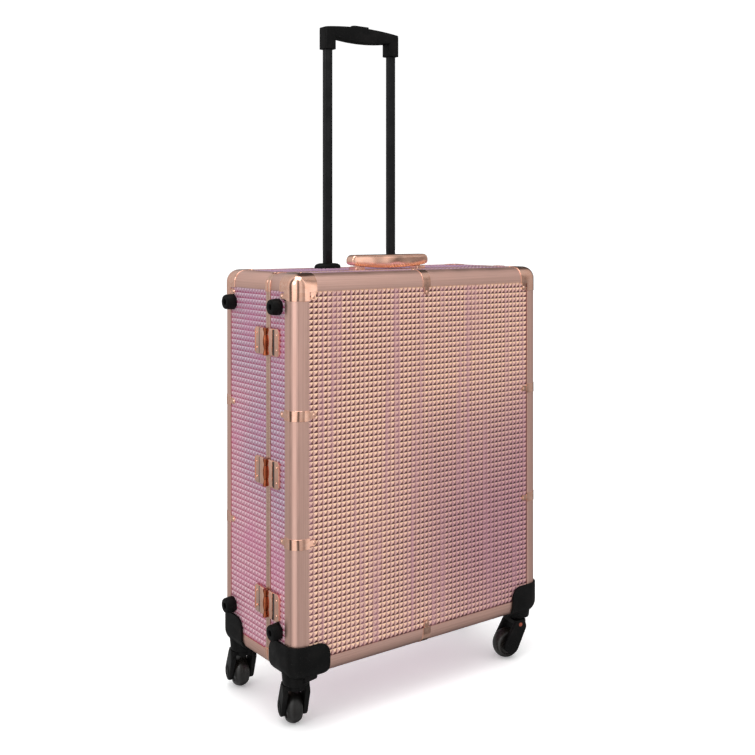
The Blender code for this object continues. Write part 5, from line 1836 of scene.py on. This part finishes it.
@dataclass
class Inside:
    """The lid's mirror in its frame and the quilted lining."""

    sizes: CaseSizes
    finishes: Finishes
    pad: float = 0.0048
    base: float = 0.0014
    quilt: float = 0.040
    stitch: float = 0.0030
    play: float = 0.0004
    frame_width: float = 0.006
    false_back: float = 0.0645          # clear of the housing of the trolley tubes

    def build(self) -> None:
        """Dress the mirror, frame it and line both shells."""
        dress_node("mirror", self.finishes.mirror)
        self.mirror_frame()
        self.line_body()
        self.line_lid()

    def mirror_frame(self) -> None:
        """Model the slim frame that holds the mirror on the lid's panel."""
        low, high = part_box("mirror")
        grow = self.frame_width
        rim = block("mirror_frame", (low.x - grow, low.y + 0.0002, low.z - grow),
                    (high.x + grow, high.y + 0.0010, high.z + grow))
        round_edges(rim, 0.024, 8, runs_along(rim, 1))
        hole = block("hole", (low.x + 0.003, low.y - 0.1, low.z + 0.003),
                     (high.x - 0.003, high.y + 0.1, high.z - 0.003))
        round_edges(hole, 0.018, 8, runs_along(hole, 1))
        seat = block("seat", (low.x - 0.0002, low.y - 0.1, low.z - 0.0002),
                     (high.x + 0.0002, high.y + 0.0002, high.z + 0.0002))
        round_edges(seat, 0.0202, 8, runs_along(seat, 1))
        combine(rim, [hole, seat], "DIFFERENCE")
        soften(rim, 0.0006, 2, math.radians(50))
        finished(rim, self.finishes.rim, LID.body)

    def walls(self, shell: Shell, near: float, far: float) -> None:
        """Line the four walls of a shell.

        Args:
            shell: the half.
            near: Y of the pads' edge at the rim.
            far: Y of their other edge.
        """
        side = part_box(shell.name + "_wall_right")[0].x - self.play
        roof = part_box(shell.name + "_wall_top")[0].z - self.play
        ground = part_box(shell.name + "_wall_bottom")[1].z + self.play
        front, back = min(near, far), max(near, far)
        self.quilted(shell.name + "_pad_left", (-side, front, ground), (-side + self.pad, back, roof), 0, 1,
                     shell.body)
        self.quilted(shell.name + "_pad_right", (side - self.pad, front, ground), (side, back, roof), 0, -1,
                     shell.body)
        inner = side - self.pad - self.play
        slots = []
        if shell is BODY:
            grip_low, grip_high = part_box("carry_handle")
            middle = (grip_low.y + grip_high.y) / 2
            for label in ("left", "right"):
                bracket_low, bracket_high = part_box("carry_bracket_" + label)
                x = (bracket_low.x + bracket_high.x) / 2
                slots.append(((x - 0.004, middle - 0.009, roof - 0.05),
                              (x + 0.004, middle + 0.009, roof + 0.05)))
        self.quilted(shell.name + "_pad_top", (-inner, front, roof - self.pad), (inner, back, roof), 2, -1,
                     shell.body, slots)
        self.quilted(shell.name + "_pad_bottom", (-inner, front, ground), (inner, back, ground + self.pad),
                     2, 1,
                     shell.body)

    def line_body(self) -> None:
        """Line the body's walls and set a padded false back in front of the tubes' housing."""
        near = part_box("body_rim")[1].y + self.play
        front = self.false_back - self.pad
        self.walls(BODY, near, front - self.play)
        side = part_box("body_wall_right")[0].x - self.play
        self.quilted("body_pad_back", (-side, front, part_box("body_wall_bottom")[1].z + self.play),
                     (side, self.false_back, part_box("body_wall_top")[0].z - self.play), 1, -1, BODY.body)

    def line_lid(self) -> None:
        """Line the lid's walls and pad its panel round the mirror."""
        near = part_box("lid_rim")[0].y - self.play
        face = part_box("mirror")[0].y
        top_y = face + self.pad * 0.8
        self.walls(LID, near, top_y + self.play)
        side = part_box("lid_wall_right")[0].x - self.play
        ground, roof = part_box("lid_wall_bottom")[1].z + self.play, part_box("lid_wall_top")[0].z - self.play
        grow = self.frame_width + self.play
        low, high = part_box("mirror")
        strips = {
            "left": ((-side, ground), (low.x - grow, roof)),
            "right": ((high.x + grow, ground), (side, roof)),
            "upper": ((low.x - grow, high.z + grow), (high.x + grow, roof)),
            "lower": ((low.x - grow, ground), (high.x + grow, low.z - grow)),
        }
        for label, (start, end) in strips.items():
            self.quilted("lid_pad_" + label + "_of_mirror",
                         (start[0], face, start[1]), (end[0], top_y, end[1]),
                         1, 1, LID.body)

    def quilted(self, name: str, low: Point, high: Point, axis: int, side: int, body: str,
                slots: Sequence[tuple[Point, Point]] = ()) -> None:
        """Sew one padded panel: a grid of squares that swell between their seams.

        Args:
            name: the panel's name.
            low: its lowest corner.
            high: its highest corner.
            axis: the axis that its plane stands on.
            side: the way its soft face looks along that axis.
            body: the body that it rides on.
            slots: boxes cut out of it.
        """
        first, second = (i for i in range(3) if i != axis)
        sizes = [high[i] - low[i] for i in range(3)]
        swell = sizes[axis] - self.base
        counts = [max(1, round(sizes[i] / self.quilt)) for i in (first, second)]
        along, out = Vector((0, 0, 0)), Vector((0, 0, 0))
        along[first], out[axis] = 1.0, side
        up = out.cross(along)
        centre = (Vector(low) + Vector(high)) / 2
        centre[axis] = (low[axis] if side > 0 else high[axis]) + side * self.base
        bpy.ops.object.select_all(action="DESELECT")
        bpy.ops.mesh.primitive_grid_add(x_subdivisions=counts[0], y_subdivisions=counts[1], size=1.0)
        pad = bpy.context.active_object
        turn = Matrix((along * sizes[first], up * sizes[second], out)).transposed().to_4x4()
        pad.matrix_world = Matrix.Translation(centre) @ turn
        settle(pad, name)
        with editing(pad, Element.FACE):
            bpy.ops.mesh.inset(thickness=self.stitch, depth=swell * 0.7, use_individual=True)
            bpy.ops.mesh.inset(thickness=self.stitch * 2.5, depth=swell * 0.3, use_individual=True)
            bpy.ops.mesh.select_all(action="DESELECT")
            bpy.context.tool_settings.mesh_select_mode = Element.EDGE.value
            bpy.ops.mesh.select_non_manifold()
            bpy.ops.mesh.extrude_region_move(TRANSFORM_OT_translate={"value": -out * self.base})
            bpy.ops.mesh.edge_face_add()
            bpy.ops.mesh.select_all(action="SELECT")
            bpy.ops.mesh.normals_make_consistent(inside=False)
        modify(pad, "SUBSURF", levels=2, render_levels=2)
        combine(pad, [block("slot", *slot) for slot in slots], "DIFFERENCE")
        finished(pad, self.finishes.lining, body)


# ====================================================================== studio
@dataclass(frozen=True)
class Studio:
    """Pale floor, soft boxes and the camera."""

    camera_place: Point = (-1.0880, -1.4469, 0.7730)
    tilt: float = math.radians(90)
    turn: float = math.radians(-36.553)
    lens: float = 49.3
    sensor: float = 36.0
    frame_shift: float = -0.1967
    # brightness of the screens round the room, from the left through the front to the right and the back
    screens: tuple[tuple[float, float], ...] = (
        (0.00, 0.60), (0.03, 1.35), (0.11, 1.30), (0.145, 0.20), (0.17, 0.18), (0.20, 0.80), (0.25, 0.72),
        (0.28, 0.48), (0.318, 0.50), (0.328, 1.25), (0.338, 1.25), (0.346, 0.62), (0.358, 0.58),
        (0.366, 0.22), (0.378, 0.20), (0.39, 0.52), (0.50, 0.45), (0.55, 0.07), (0.66, 0.06),
        (0.71, 0.45), (0.80, 0.52), (0.86, 0.58), (0.92, 0.70), (0.955, 0.16), (0.98, 0.14))
    heights: tuple[tuple[float, float], ...] = (
        (0.00, 0.60), (0.30, 0.68), (0.46, 0.85), (0.52, 1.00), (0.80, 1.10))

    def build(self) -> None:
        """Set up the floor, the lights, the world and the camera."""
        self.camera()
        self.floor()
        self.lights()
        self.world()
        bpy.context.scene.view_settings.view_transform = "Standard"

    def camera(self) -> None:
        """Add the camera."""
        bpy.ops.object.camera_add(location=self.camera_place, rotation=(self.tilt, 0.0, self.turn))
        camera = bpy.context.active_object
        camera.name = "case_camera"
        camera.data.lens, camera.data.sensor_width = self.lens, self.sensor
        camera.data.shift_y = self.frame_shift
        bpy.context.scene.camera = camera

    def floor(self) -> None:
        """Add the pale floor."""
        bpy.ops.object.select_all(action="DESELECT")
        bpy.ops.mesh.primitive_plane_add(size=60.0)
        floor = bpy.context.active_object
        floor.name = "studio_floor"
        material, wires, shader = new_material("pale_floor")
        cloud = wires.node("TexNoise", Vector=object_place(wires), Scale=2.0, Detail=2.0)
        wires.tree.links.new(wires.mix(cloud.outputs[0], (0.98, 0.98, 0.98, 1), (1.0, 1.0, 1.0, 1)),
                             shader.inputs["Base Color"])
        set_shader(shader, Roughness=0.9, Specular_IOR_Level=0.1, Emission_Color=(1.0, 1.0, 1.0, 1.0),
                   Emission_Strength=0.2)
        floor.data.materials.append(material)
        floor.visible_glossy = False

    def lights(self) -> None:
        """Add the soft boxes."""
        boxes = {
            "key_softbox": ((-2.4, -0.9, 1.9), (0.0, 0.0, 0.45), 0.9, 9.0),
            "top_softbox": ((-0.5, -0.5, 2.8), (0.0, 0.0, 0.4), 1.6, 20.0),
        }
        for name, (place, aim, size, power) in boxes.items():
            bpy.ops.object.light_add(type="AREA", location=place)
            light = bpy.context.active_object
            light.name = name
            light.data.size, light.data.energy = size, power
            light.rotation_euler = (Vector(place) - Vector(aim)).to_track_quat("Z", "Y").to_euler()

    def world(self) -> None:
        """Make an even white room, which reflections see as a studio of bright and dark screens."""
        world = bpy.data.worlds.new("studio")
        bpy.context.scene.world = world
        world.use_nodes = True
        wires = Wires(world.node_tree)
        room = world.node_tree.nodes["Background"]
        room.inputs["Color"].default_value = (1.0, 1.0, 1.0, 1.0)
        room.inputs["Strength"].default_value = 1.03
        parts = wires.node("SeparateXYZ", s0=wires.node("TexCoord").outputs["Generated"])
        turn = wires.math("ARCTAN2", parts.outputs[1], parts.outputs[0])
        screens = wires.ramp(wires.math("MULTIPLY_ADD", turn, 0.5 / math.pi, 0.5),
                             [(place, (level,) * 3) for place, level in self.screens])
        level = wires.math("MULTIPLY_ADD", parts.outputs[2], 0.5, 0.5)
        heights = wires.ramp(level, [(place, (shade,) * 3) for place, shade in self.heights])
        shaded = wires.node("Background", Color=wires.mix(1.0, screens, heights, "MULTIPLY"), Strength=1.10)
        seen = wires.node("LightPath")
        mixed = wires.node("MixShader", s0=seen.outputs["Is Glossy Ray"], s1=room.outputs[0],
                           s2=shaded.outputs[0])
        backdrop = wires.node("Background", Color=(1, 1, 1, 1), Strength=1.05)
        mixed = wires.node("MixShader", s0=seen.outputs["Is Camera Ray"], s1=mixed.outputs[0],
                           s2=backdrop.outputs[0])
        wires.tree.links.new(mixed.outputs[0], world.node_tree.nodes["World Output"].inputs["Surface"])


def main() -> None:
    """Build the case's looks in order and report each piece."""
    logging.basicConfig(level=logging.INFO, format="%(name)s: %(message)s")
    Studio().build()
    sizes, finishes = CaseSizes.from_frame(), Finishes()
    hinge = next(joint for joint in frame["joints"] if joint["child"] == "lid")
    Shells(sizes, finishes).build()
    Hinges(sizes, finishes, Vector(hinge["pos_m"])).build()
    SideFeet(finishes).build()
    Casters(sizes, finishes).build()
    TrolleyHandle(sizes, finishes).build()
    CarryHandle(sizes, finishes).build()
    Latches(sizes, finishes).build()
    Inside(sizes, finishes).build()


if __name__ == "__main__":
    main()
